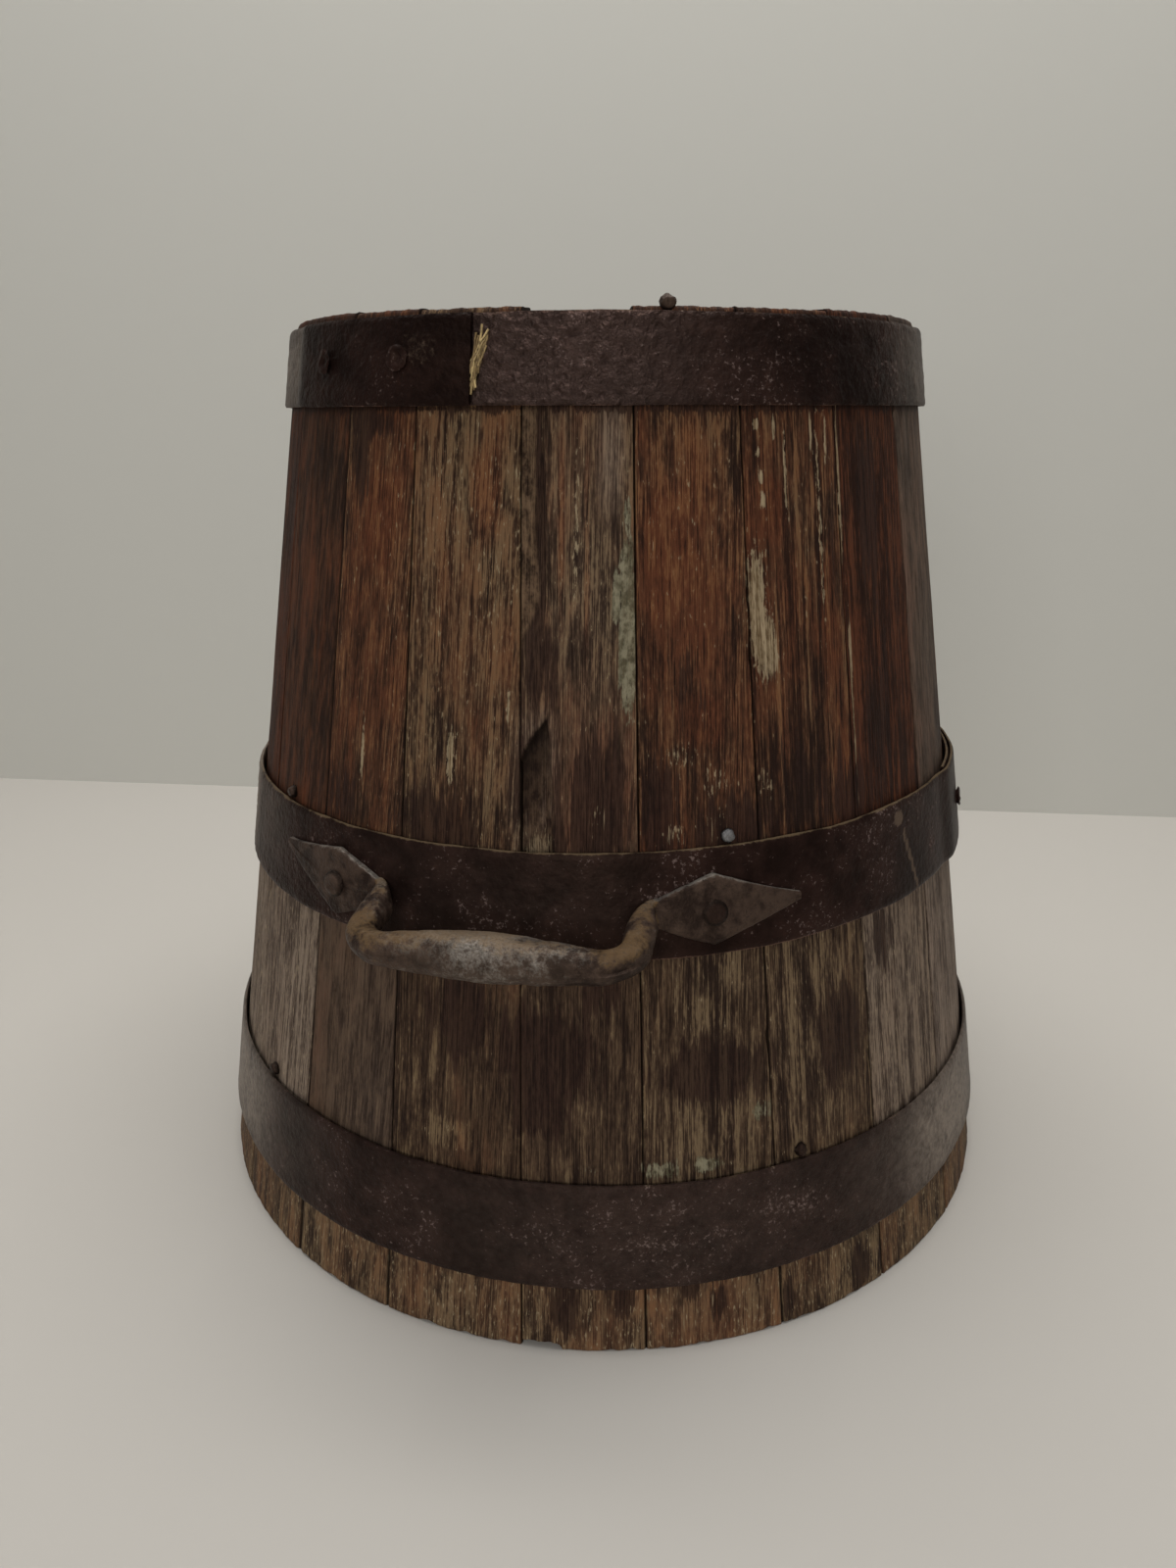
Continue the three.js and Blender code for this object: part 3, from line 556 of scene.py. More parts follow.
# azimuth, height, half width and half height in mm, strength
MARKS = {
    "lime": [
        (14.9, 300, 3.6, 38, 0.85), (13.6, 311, 2.2, 13, 0.85), (15.0, 338, 1.8, 9, 0.7),
        (18.5, 81, 11, 5, 0.7), (24.9, 81, 10, 4, 0.65), (10.0, 82, 9, 3, 0.45),
        (32.1, 100, 6, 5, 0.6),
    ],
    "pale": [
        (33.4, 303, 3.6, 22, 1.0), (34.6, 290, 5.0, 13, 0.9), (33.9, 371, 1.2, 2.0, 1.1),
        (34.3, 361, 0.8, 1.6, 1.1), (34.6, 352, 0.9, 2.2, 1.1), (34.9, 344, 1.2, 2.6, 1.1),
        (37.0, 370, 0.8, 4, 1.0), (38.6, 352, 0.6, 14, 0.9), (43.6, 368, 0.6, 9, 0.9),
        (46.4, 366, 0.6, 9, 0.9), (48.9, 350, 0.7, 34, 0.9), (49.6, 268, 0.8, 40, 0.85),
        (44.8, 330, 0.6, 46, 0.7), (-9.0, 247, 1.4, 10, 1.0), (-24.0, 243, 1.0, 13, 0.85),
        (22.0, 250, 7.0, 4, 0.46), (27.0, 239, 6.0, 8, 0.42), (33.8, 238, 3.6, 7, 0.55),
        (21.0, 219, 7.0, 5, 0.45), (26.5, 222, 6.0, 7, 0.42), (11.0, 226, 4.0, 8, 0.42),
        (3.6, 213, 6.0, 8, 0.7), (-0.9, 268, 0.6, 6, 0.9), (8.0, 330, 1.0, 30, 0.5),
    ],
    "soot": [
        (-11.0, 219, 16, 13, 0.7), (4.9, 215, 10, 12, 0.6), (11.5, 232, 10, 30, 0.85),
        (18.5, 228, 6, 20, 0.75), (29.1, 219, 16, 12, 0.7), (40.0, 232, 10, 22, 0.5),
        (48.5, 224, 14, 14, 0.68), (-28.0, 222, 10, 13, 0.55), (25.8, 121, 20, 12, 1.3),
        (4.6, 128, 18, 18, 1.35), (4.1, 106, 11, 12, 1.1), (-6.3, 143, 15, 16, 1.05),
        (12.0, 158, 9, 12, 0.8), (44.5, 124, 11, 20, 1.2), (53.0, 160, 9, 15, 0.9),
        (7.3, 20, 6, 13, 1.15), (14.0, 24, 6, 9, 0.9), (22.0, 27, 5, 7, 0.95),
        (25.8, 18, 4, 9, 1.0), (34.9, 12, 4, 11, 1.0), (45.9, 12, 5, 13, 1.05),
        (3.2, 328, 2.3, 40, 1.3), (3.4, 292, 3.4, 14, 0.8), (2.4, 240, 6, 17, 1.0),
        (2.9, 284, 8, 22, 0.8), (-28.1, 356, 5, 14, 0.9), (-26.0, 372, 14, 7, 0.9),
        # the marks at 54.7, 55.5, -52 and -56 degrees darken the upper side staves as painted shade
        (54.7, 346, 9, 34, 0.95), (55.5, 262, 10, 44, 0.6), (-52.0, 330, 12, 60, 0.6),
        (-56.0, 250, 12, 30, 0.5), (47.0, 320, 5, 34, 0.6), (22.8, 282, 8, 20, 0.55),
    ],
    # the second grey mark is a painted highlight near the top of the waney stave
    "grey": [(3.0, 238, 8.0, 26, 0.5), (12.8, 362, 5.0, 22, 0.4)],
    "smooth": [(12.0, 355, 6.0, 26, 0.6)],
    "red": [
        (6.0, 335, 1.5, 42, 0.75), (9.5, 325, 1.3, 46, 0.7), (21.0, 330, 16, 30, 0.9),
        (-23.0, 335, 12, 26, 0.9), (-5.0, 345, 8, 22, 0.8), (36.4, 340, 8, 16, 1.0),
        (25.0, 262, 14, 16, 0.95),
    ],
    "rubbed": [
        (6.0, 335, 1.4, 42, 0.85), (9.5, 325, 1.2, 46, 0.8), (-8.0, 345, 10, 34, 0.72),
        (23.8, 350, 8, 24, 0.66), (44.4, 340, 1.2, 40, 0.85), (41.5, 290, 1.0, 40, 0.85),
        (-7.4, 90, 14, 9, 0.7), (25.0, 145, 20, 12, 0.7),
    ],
    "scrape": [(57.1, 209.5, 3.6, 3.4, 0.9), (-15.5, 398, 11, 9, 0.4)],
    "run": [
        (-35.4, 73, 1.0, 4, 1.0), (-35.1, 66, 1.1, 5, 1.0), (-34.9, 58, 1.5, 3, 1.0),
        # the last one darkens the top hoop's right part
        (49, 394, 44, 20, 0.48),
    ],
    "film": [
        (-84, 53, 130, 24, 0.7), (-56, 53, 50, 24, 1.0), (90, 53, 110, 24, 0.7),
        (69, 53, 46, 24, 1.0), (15, 53, 110, 26, 0.06), (-66, 195, 26, 22, 1.0),
        (-48, 197, 20, 18, 0.12), (0, 194, 46, 16, 0.03), (-42, 53, 24, 24, 0.13),
        (180, 53, 190, 24, 0.5), (-64, 394, 16, 17, 0.6), (-56, 394, 14, 17, 0.55),
        (-49.5, 394, 9, 17, 0.5), (80, 394, 28, 17, 0.36), (70, 394, 14, 17, 0.16),
    ],
    "chipped": [
        (19.0, 193, 14, 9, 1.0), (-6.0, 188, 34, 8, 0.6), (42.0, 398, 22, 12, 0.9),
        (60.0, 388, 12, 9, 1.0), (3.0, 52, 24, 9, 0.9), (22.0, 48, 26, 9, 1.0),
        (38.0, 60, 20, 8, 0.8),
    ],
}
# scratches below the middle hoop's scrape, each lower and further right
MARKS["scrape"] += [(58.4 + 0.6 * k, 201 - 5 * k, 1.2, 3.6, 0.85) for k in range(6)]
OAK_MARKS = [kind for kind in MARKS if kind not in HOOP_MARKS]
UNSEEN = (82, 298)  # azimuths whose marks are drawn by lot
# how many, half widths and half heights
UNSEEN_MARKS = {
    "soot": (34, (5, 18), (6, 20)),
    "pale": (30, (1, 4), (4, 22)),
    "lime": (9, (2, 6), (6, 30)),
}
draw = np.random.default_rng(7)
for kind, (count, widths, heights) in UNSEEN_MARKS.items():
    for _ in range(count):
        spans = (UNSEEN, (5, 375), widths, heights, (0.6, 1))
        MARKS[kind].append(tuple(draw.uniform(*span) for span in spans))
for name in STAVES:
    if name not in STAVE_WEAR:
        STAVE_WEAR[name] = tuple(
            tuple(float(draw.uniform(*span)) for span in spans)
            for spans in (UPPER_SPANS, LOWER_SPANS)
        )


def marked(kind, azimuth, z_mm, radius_mm):
    """How strongly a kind of mark shows at places on the side: half as much at an oval's edge."""
    strength = np.zeros_like(z_mm)
    fade = 2 if kind == "soot" else 3
    for at, height, half_width, half_height, full in MARKS[kind]:
        across = np.radians((azimuth - at + 180) % 360 - 180) * radius_mm / half_width
        away = np.abs(across) ** fade + np.abs((z_mm - height) / half_height) ** fade
        strength = np.maximum(strength, full * np.exp(-0.7 * away))
    return strength


print("marks:", {kind: len(places) for kind, places in MARKS.items()})

# %% [markdown]
# ## A stave
# A stave is a wedge of a cone: wide at the foot, narrow at the mouth, with a groove inside for the
# floor boards. A plain bevelled box would show its straight edges, so each stave is one sheet of
# points that starts on the end grain of the foot, runs up the outside and turns over the mouth.
# The sheet is then worn: edges rounded unevenly, strands raised, chips out of the joints. A
# coarser sheet makes the inside, and rows of triangles zip the two together into a closed body.

# %% Stave sizes
WALL = 16 * MM
RIM_BEVEL, FOOT_BEVEL = 4 * MM, 3 * MM
CROZE_LOW, CROZE_HIGH, CROZE_DEPTH = 42.7 * MM, 51.3 * MM, 5 * MM
SWOLLEN = 0.12 * MM  # how far damp has closed each side of a joint
SHUT_JOINT = (0.3, 0.3)  # the same for the rest
# mm of dark at the left and right edge of the first eight staves, whose joints have opened again
OPENED = ((0.4, 0.9), (0.9, 0.6), (0.6, 0.3), (0.25, 0.4))
OPENED += ((0.4, 0.5), (0.5, 0.4), (0.4, 0.6), (0.6, 0.3))
OPEN_JOINTS = dict(zip(STAVES, OPENED))
PROUD_TOPS = {"stave_05": 0.8, "stave_06": 1.2}  # mm that these ends stand above the saw cut
STAVE_ROWS = 290
near_edge = np.array([0, 0.004, 0.010, 0.018, 0.028, 0.042])
across_share = np.concatenate([near_edge, np.linspace(0.06, 0.94, 50), 1 - near_edge[::-1]])
inner_share = np.linspace(0, 1, 13)


def stave_edges(node):
    """Azimuths of a stave's left and right edge at the foot and at the mouth, and its top."""
    radius, azimuth, z = polar(node_points(node))
    turn = np.radians(azimuth)
    middle = math.degrees(math.atan2(np.sin(turn).mean(), np.cos(turn).mean()))
    azimuth = middle + (azimuth - middle + 180) % 360 - 180
    top = z.max() + PROUD_TOPS.get(node, 0) * MM
    on_side = radius > side(z) - 0.1 * MM
    foot, mouth = azimuth[(z < SAME) & on_side], azimuth[(z > z.max() - SAME) & on_side]
    both = []
    for pick, swell in ((np.min, -SWOLLEN), (np.max, SWOLLEN)):
        low, high = (pick(end) + math.degrees(swell / RIM_RADIUS) for end in (foot, mouth))
        both.append((low, low + (high - low) * TUB_HEIGHT / top))
    return *both, top


edges = {name: stave_edges(name) for name in STAVES}
print("first stave, degrees at foot and mouth:", np.round(edges[STAVES[0]][:2], 2).tolist())


# %% A stave's worn surface
def stave_rows(top):
    """Depth below the side and height of each row, from the foot's end grain to the mouth's."""
    foot_edge, top_edge = 1.0 * MM, 1.6 * MM
    turn = np.radians([0, 30, 60, 90])
    outside = np.linspace(foot_edge, top - top_edge, STAVE_ROWS + 1)[1:-1]
    depths = (
        np.array([13, 10, 7, 4, 2.2]) * MM,
        foot_edge * (1 - np.sin(turn)),
        np.zeros(len(outside)),
        top_edge * (1 - np.cos(turn)),
        np.array([2.6, 4.5, 7, 9.5, 12]) * MM,
    )
    heights = (
        np.zeros(5),
        foot_edge * (1 - np.cos(turn)),
        outside,
        top - top_edge * (1 - np.sin(turn)),
        np.full(5, top),
    )
    return np.concatenate(depths), np.concatenate(heights)


def worn_depth(z_mm, from_left, from_right, seed):
    """How far wear has taken the outside below the cooper's surface, in mm."""
    depth = 0.7 * rough_hills(from_left / 16, z_mm / 110, seed)
    depth = depth + 0.32 * rough_hills(from_left / 3.1, z_mm / 70, seed + 1, 2)
    depth = depth + 0.16 * hills(from_left / 1.3, z_mm / 22, seed + 2)
    for k, edge in enumerate((from_left, from_right)):
        round_off = 0.15 + 0.5 * hills(z_mm / 14, 0.5, seed + 5 + k)
        inner = np.clip(round_off - edge, 0, None)
        depth = depth + round_off - np.sqrt(np.clip(round_off**2 - inner**2, 0, None))
        chip = rise(hills(z_mm / 11, 2.5, seed + 9 + k), 0.78, 0.97)
        chip_width = 1 + 2.5 * hills(z_mm / 3, edge / 2, seed + 12)
        depth = depth + 1.3 * chip * np.clip(1 - edge / chip_width, 0, 1)
    return depth


print("rows in a stave's outer sheet:", len(stave_rows(TUB_HEIGHT)[0]))

# %% [markdown]
# The stave right of the middle was cut from the edge of the log. A strip of its left edge is wane,
# the grey lumpy surface under the bark, with a knot in it. Lower down a crack curves in from that
# edge, and the wood below the crack has broken away as far as the hoop.

# %% The waney stave
WANEY = "stave_04"
WANE_WIDTH, KNOT_IN, KNOT_HEIGHT = 6.2, 4.6, 336
CRACK_LEFT, CRACK_RIGHT = (0.6, 245.0), (4.6, 266.0)  # azimuth and height of the crack's ends
BREAK_FOOT = (6.0, 205.0)  # where the broken strip's right side, from the crack's end, comes down


def stretch(z_mm, begins, full, thins, ends):
    """1 over a stretch of height, and 0 past its ends."""
    return rise(z_mm, begins, full) * rise(z_mm, ends, thins)


def waney(azimuth, z_mm, from_left):
    """Extra depth in mm, and masks of the wane and of the painted shadow in and below the crack."""
    strip = WANE_WIDTH * (0.65 + 0.7 * hills(z_mm / 24, 0.5, 91))
    strip = strip * stretch(z_mm, 284, 312, 376, 400)
    wane = rise(strip - from_left, -0.4, 1.6)
    lumps = 1.7 * rough_hills(from_left / 4.5, z_mm / 9, 92) * rise(from_left, 0, 2.5)
    knot = np.exp(-(((from_left - KNOT_IN) / 3.0) ** 2) - ((z_mm - KNOT_HEIGHT) / 8) ** 2)
    furrow = np.exp(-(((from_left - 1.1 * strip - 0.8) / 1.6) ** 2))
    furrow = furrow * stretch(z_mm, 290, 318, 372, 398)
    depth = wane * (0.2 + lumps - 1.6 * knot) + 1.8 * furrow

    ragged = 3.0 * (rough_hills(azimuth * 1.1, z_mm / 12, 93) - 0.5)
    (left, left_z), (right, right_z), (foot, foot_z) = CRACK_LEFT, CRACK_RIGHT, BREAK_FOOT
    along = np.clip((azimuth - left) / (right - left), 0, None) ** 0.8
    below_crack = left_z + (right_z - left_z) * along + ragged - z_mm
    down = (right_z - z_mm) / (right_z - foot_z)
    left_of_break = right + (foot - right) * down + 0.4 * ragged - azimuth
    broken = rise(below_crack, -0.3, 1.2) * rise(left_of_break * 3.2, -0.3, 2.2)
    broken = broken * rise(z_mm, 196, 204)
    depth = depth + broken * (2.3 + 1.3 * rough_hills(from_left / 5, z_mm / 14, 94))
    # painted shadow: a dark line along the crack and a dark band below it
    shadow = np.exp(-((below_crack / np.where(below_crack > 0, 3.0, 1.0)) ** 2))
    shadow = shadow + 0.8 * rise(below_crack, 42, 3) * (below_crack > 0)
    crack_shadow = np.minimum(shadow, 1) * rise(left_of_break, -0.4, 0.2)
    return depth, np.maximum(wane, 0.55 * broken), crack_shadow


probe = waney(np.array([2.0]), np.array([335.0]), np.array([3.0]))
print("wane depth at the knot's edge:", round(float(probe[0][0]), 2), "mm")


# %% How a stave looks outside
def stave_looks(name, azimuth, z_mm, from_left, from_right):
    """The oak attributes over the outer sheet of a stave."""
    lower, foot = rise(z_mm, 205, 180), rise(z_mm, 52, 46)  # below the middle and bottom hoops
    looks = {}
    for key, high, low, base in zip(OAK_WEAR, *STAVE_WEAR[name], FOOT_WEAR):
        looks[key] = (high * (1 - lower) + low * lower) * (1 - foot) + base * foot
    for kind in OAK_MARKS:
        shows = marked(kind, azimuth, z_mm, side(z_mm * MM) / MM)
        looks[kind] = np.maximum(looks.get(kind, 0), shows)
    left_gap, right_gap = OPEN_JOINTS.get(name, SHUT_JOINT)
    nearest = np.minimum(from_left / left_gap, from_right / right_gap) / (1 + foot)
    looks["seam"] = np.clip(1.5 * (1 - nearest), 0, 1)
    edge = np.minimum(from_left, from_right)
    # grime in the joints, painted shadow below the top hoop and close under its edge,
    # and grime on the end grain
    grimes_and_shadows = (
        0.3 * np.exp(-edge / 1.6) + 0.3 * np.exp(-np.abs(z_mm - 374) / 5),
        0.9 * np.exp(-np.abs(z_mm - 377) / 2.5),
        0.55 * rise(z_mm, 398, 404),
    )
    for grime_and_shadow in grimes_and_shadows:
        looks["soot"] = np.maximum(looks["soot"], grime_and_shadow)
    looks["soot"] = looks["soot"] + 0.26 * rise(z_mm, 290, 222) * rise(z_mm, 205, 212)
    knocked_edge = 0.3 * np.exp(-edge / 1.4) * hills(z_mm / 18, 0.0, 61)
    looks["rubbed"] = looks["rubbed"] - 0.1 * rise(z_mm, 335, 250) * (1 - lower) + knocked_edge
    looks["pale"] = np.maximum(looks["pale"], 0.28 * foot)
    return looks


# %% A stave's two sheets
def stave_grid(name, depth, z, share):
    """Depth, height, azimuth and width of a grid of rows at shares of a stave's width."""
    depth, z = (np.repeat(v[:, None], len(share), 1) for v in (depth, z))
    left, right = (low + (high - low) * z / TUB_HEIGHT for low, high in edges[name][:2])
    return depth, z, left + (right - left) * share, np.radians(right - left) * side(z)


def way_up(z):
    """How far along its sheet each row is, for zipping."""
    return np.linspace(0, 1, len(z)) * 1e-3 + np.maximum.accumulate(z[:, 0]) / z.max()


def foot_wear(name, azimuth, seed):
    """How far the foot has worn up, in mm."""
    ragged = 1.4 * rise(rough_hills(across_share * 9, 0.5, seed + 20), 0.45, 0.9)
    return ragged + 3.0 * rise(azimuth, 7.2, 6.8) if name == WANEY else ragged


def stave_outside(name, seed):
    """Points, grain, looks and rows' places of the sheet over the outside and both ends."""
    top = edges[name][2]
    depth, z, azimuth, width = stave_grid(name, *stave_rows(top), across_share)
    depth_mm, z_mm, way = depth / MM, z / MM, way_up(z)
    from_left, from_right = width / MM * across_share, width / MM * (1 - across_share)
    looks = stave_looks(name, azimuth, z_mm, from_left, from_right)
    looks["inside"] = np.clip((depth_mm - 8) / 8, 0, 1) * 0.5
    worn = worn_depth(z_mm, from_left, from_right, seed) + 0.6 * looks["seam"]
    if name == WANEY:
        extra, looks["bark"], crack_shadow = waney(azimuth, z_mm, from_left)
        worn = worn + extra
        looks["smooth"] = looks["smooth"] * (1 - looks["bark"])
        # the crack's painted shadow is laid in with the dark joints
        looks["seam"] = np.maximum(looks["seam"], crack_shadow)
    on_side = np.clip(1 - depth_mm / 3, 0, 1)
    at_foot = np.clip(1 - z_mm / 5, 0, 1)
    at_top = np.clip(1 - (top / MM - z_mm) / 4, 0, 1)
    end_grain = 0.9 * rough_hills(from_left / 2.2, depth_mm / 2.2, seed + 30)
    radius = side(z) - (depth_mm + worn * on_side) * MM
    z = z + (at_foot * foot_wear(name, azimuth, seed) - at_top * end_grain) * MM
    grain = np.stack([from_left * MM, z / math.cos(SLOPE), depth], -1)
    return place(radius, azimuth, z), grain, looks, way


def stave_inside(name, seed):
    """Points, grain, looks and rows' places of the sheet over the inside, with its groove."""
    groove = [CROZE_LOW, CROZE_LOW + SAME, CROZE_HIGH - SAME, CROZE_HIGH]
    rows = np.linspace(70 * MM, edges[name][2] - RIM_BEVEL, 48)
    rows = np.concatenate([[FOOT_BEVEL, 20 * MM], groove, rows])
    depth = np.full_like(rows, WALL)
    depth[3:5] -= CROZE_DEPTH
    depth, z, azimuth, width = stave_grid(name, depth, rows, inner_share)
    waves = 0.5 * MM * rough_hills(azimuth / 4, z / (90 * MM), seed + 40) * (z > 60 * MM)
    from_edge = np.minimum(inner_share, 1 - inner_share) * width / MM
    looks = {"inside": 1.0, "rubbed": 0.5, "red": 0.3, "smooth": 0.3}
    looks["seam"] = np.clip(1 - from_edge / 1.5, 0, 1)
    grain = np.stack([width * inner_share, z, np.full_like(z, WALL)], -1)
    return place(side(z) - depth + waves, azimuth, z), grain, looks, way_up(z)


# %% Building the staves
def oak_stave(name, seed):
    outer, grain, looks, way = stave_outside(name, seed)
    inner, inner_grain, inner_looks, inner_way = stave_inside(name, seed)
    first, inner_count = outer[..., 0].size, inner[..., 0].size
    number = np.arange(first).reshape(outer.shape[:2])
    inner_number = first + np.arange(inner_count).reshape(inner.shape[:2])
    triangles = [
        zip_edges(number[:, 0], inner_number[:, 0], way, inner_way),
        zip_edges(number[:, -1], inner_number[:, -1], way, inner_way, True),
        zip_edges(number[-1], inner_number[-1], across_share, inner_share),
        zip_edges(number[0], inner_number[0], across_share, inner_share, True),
    ]
    quads = [sheet_quads(*number.shape), sheet_quads(*inner_number.shape, first, True)]
    points, grain = (
        np.concatenate([one.reshape(-1, 3), other.reshape(-1, 3)])
        for one, other in ((outer, inner), (grain, inner_grain))
    )
    log = np.array([seed * 0.371, seed * 0.613, seed * 0.117])  # each stave from another log
    attributes = {"grain": grain + log}
    for key in OAK_LOOKS:
        on_outside = np.broadcast_to(looks.get(key, 0), number.shape).ravel()
        on_inside = np.broadcast_to(inner_looks.get(key, 0), inner_number.shape).ravel()
        attributes[key] = np.concatenate([on_outside, on_inside])
    quads, triangles = np.concatenate(quads), np.concatenate(triangles)
    piece = mesh_piece("oak_" + name, points, quads, triangles, oak, attributes)
    return stand_for(piece, "stave_wood", name)


staves = [oak_stave(name, 100 * i + 3) for i, name in enumerate(STAVES)]
print("staves:", len(staves), "faces each:", len(staves[0].data.polygons))

# %% [markdown]
# ## The floor of the measure
# Three boards lie in a groove cut round the inside of the staves. Their rims are bevelled thin to
# enter it. A board is simplest as two sheets, its face and its underside, that share a rim: the
# height at each point follows from its distance to the tub's axis. The boards' grain runs along X,
# corn and dust have polished the face, and the joints between the boards have opened a little.

# %% Head boards
BOARDS = named("head_board_")
HEAD_LOW, HEAD_HIGH = (corner.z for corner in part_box(BOARDS[1]))
HEAD_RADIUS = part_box(BOARDS[1])[1].x
HEAD_EDGE, HEAD_TONGUE, HEAD_BEVEL = 8 * MM, 7.1 * MM, 20 * MM
BOARD_LOOKS = {"inside": 1.0, "rubbed": 0.5, "red": 0.25, "smooth": 0.35, "grey": 0.1, "soot": 0.0}


def head_board(node, seed):
    low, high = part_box(node)
    reach = HEAD_RADIUS - SAME
    y = np.linspace(max(low.y, -reach), min(high.y, reach), 46)[:, None]
    x = np.sqrt(HEAD_RADIUS**2 - y**2) * np.sin(np.linspace(-math.pi / 2, math.pi / 2, 150))
    y = np.broadcast_to(y, x.shape)
    from_rim = HEAD_RADIUS - np.hypot(x, y)
    bevel = np.clip((from_rim - HEAD_TONGUE) / HEAD_BEVEL, 0, 1)
    half = HEAD_EDGE / 2 + (HEAD_HIGH - HEAD_LOW - HEAD_EDGE) / 2 * bevel
    to_joint = np.minimum(y - low.y, high.y - y) / MM
    joint = np.clip(1 - to_joint / 1.2, 0, 1) ** 2
    hollow = 0.5 * rough_hills(x / 0.08, y / 0.012, seed)
    hollow = hollow + 0.25 * rough_hills(x / 0.03, y / 0.003, seed + 1)
    middle = (HEAD_LOW + HEAD_HIGH) / 2
    face = middle + half - (hollow + joint) * bevel * MM
    under = middle - half + (hollow[::-1] + joint) * bevel * MM
    points = np.concatenate([np.stack([x, y, z], -1).reshape(-1, 3) for z in (face, under)])
    top = np.arange(x.size).reshape(x.shape)
    bottom = top + x.size
    rims = (
        (bottom[0], top[0]),
        (top[-1], bottom[-1]),
        (bottom[:, -1], top[:, -1]),
        (top[:, 0], bottom[:, 0]),
    )
    quads = [sheet_quads(*x.shape), sheet_quads(*x.shape, x.size, True)]
    quads += [np.stack([a[:-1], a[1:], b[1:], b[:-1]], 1) for a, b in rims]
    attributes = {key: np.full(len(points), level) for key, level in BOARD_LOOKS.items()}
    # the face is darker towards the rim
    darker_to_rim = np.clip(1 - (from_rim / MM - 6) / 12, 0, 1)
    attributes["soot"][: x.size] = 0.5 * darker_to_rim.ravel()
    attributes["grain"] = points[:, [1, 0, 2]] + seed * 0.21
    attributes["seam"] = np.tile(np.clip(1 - to_joint / 1.6, 0, 1).ravel(), 2)
    piece = mesh_piece("oak_" + node, points, np.concatenate(quads), [], oak, attributes)
    return stand_for(piece, "head_wood", node)


boards = [head_board(node, 31 + 7 * i) for i, node in enumerate(BOARDS)]
print("boards:", [piece.name for piece in boards], "radius", round(HEAD_RADIUS, 4))

# %% [markdown]
# ## Dowels
# Two hidden pins in each joint keep the boards level. Nothing of them shows, so their plain solids
# stay, with a quiet pattern of long grain on Object coordinates in place of the boards' attributes.

# %% Dowel wood
dowel_wood, start = new_finish("dowel_wood")
streak = start.make("ShaderNodeTexCoord", out="Object").noise((900, 30, 900), 2.0)
tone = streak.rise(0.3, 0.7).paint((104, 78, 52), (150, 120, 84))
sockets = {"Base Color": tone, "Roughness": 0.6 + streak * 0.2}
finish_surface(start, sockets, streak, 0.4 * MM, 0.5)
for node in named("head_dowel_"):
    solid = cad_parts[node]
    solid.data.materials.clear()
    solid.data.materials.append(dowel_wood)
print("dowels that keep their solids:", len(named("head_dowel_")))

# %% [markdown]
# ## Hoop iron
# The hoops are flat bar, beaten round and riveted. A century of handling has turned the scale and
# rust nearly black, with a dull sheen. High spots have been knocked bright in clusters, which also
# stand in as painted glints; rust shows brown in the pits, and tan dust lies along each upper edge,
# which on the top hoop is also a painted highlight. One stretch of each hoop is crusted and painted
# lighter, partly the crust's own colour and partly painted sheen for the glints on its lumps. The
# hoop's own attributes say where its lumps, edges, crust, scrapes, runs and film are; the film is
# grey dust with painted sheen at the hoops' sides. Noise on Object coordinates does the rest.

# %% Hoop iron finish
hoop_iron, start = new_finish("hoop_iron")
spot = start.make("ShaderNodeTexCoord", out="Object")
HOOP_LOOKS = ("crust", "dust", "edge", "layer", "pitting", "crusted", *HOOP_MARKS)
looks = [attribute(start, key) for key in HOOP_LOOKS]
crust, dust, edge, layer, pitting, crusted, scrape, run, chipped, film = looks
cloud = spot.noise((26, 26, 26), 3.0)
patch = spot.noise((80, 80, 80), 4.0, 0.65)
scale = spot.noise((360, 360, 360), 2.0, 0.5)
speck = spot.noise((560, 560, 560), 4.0, 0.75)
black = (cloud * 0.4 + patch * 0.6).rise(0.36, 0.64)
rusty = (patch * 0.5 + scale * 0.3 + (1 - crust) * 0.2).rise(0.56, 0.7)
knocked_and_glints = speck + crust * 0.1 + cloud.swing(0.3) + patch.swing(0.3) + chipped * 0.07
knocked_and_glints = (knocked_and_glints - layer * 0.03).rise(0.67, 0.76)
scraped = (scrape + speck.swing(0.8)).rise(0.35, 0.65)
bared = (edge + patch.swing(1.6) + speck.swing(0.8)).rise(0.7, 0.95)
edge_dust_and_highlight = (dust + patch.swing(1.2) + speck.swing(0.8)).rise(0.5, 0.85)
iron = layered(
    black.paint((22, 13, 11), (43, 29, 25)),
    (rusty, 0.4, (60, 37, 29)),
    (layer, 0.3, (16, 8, 7)),
    # lighter over the crusted stretch: partly the crust's own colour, partly painted sheen for the
    # glints on its lumps
    (crusted, 0.3 + crust * 0.3 + scale.swing(0.5), (97, 80, 74)),
    # specks knocked bright, which also stand in as painted glints
    (knocked_and_glints, 0.6, (126, 108, 102)),
    (scraped, 0.75, (98, 83, 70)),
    (run.rise(0.3, 0.6), 0.9, (20, 12, 11)),
    (bared, 0.6, (108, 82, 70)),
    # tan dust on the upper edges, and on the top hoop also a painted highlight along that edge
    (edge_dust_and_highlight, 0.6, (112, 95, 72)),
    # grey dust film, with painted sheen at the hoops' sides
    (film, 0.86 + scale.swing(1.6) + patch.swing(1.2), (128, 117, 106)),
)
dull = 0.34 + speck * 0.16 + rusty * 0.15 + edge_dust_and_highlight * 0.25 + scraped * 0.2 - crusted * 0.08
sockets = {"Base Color": iron, "Metallic": crusted * 0.6, "Roughness": dull}
sockets.update({"Specular IOR Level": 0.08, "Specular Tint": WARM_GLOSS})
relief = (scale * 0.9 + speck * 0.3 + patch * 0.6) * pitting
finish_surface(start, sockets, relief, 1.2 * MM, 0.9)
print("hoop iron:", len(hoop_iron.node_tree.nodes), "nodes")

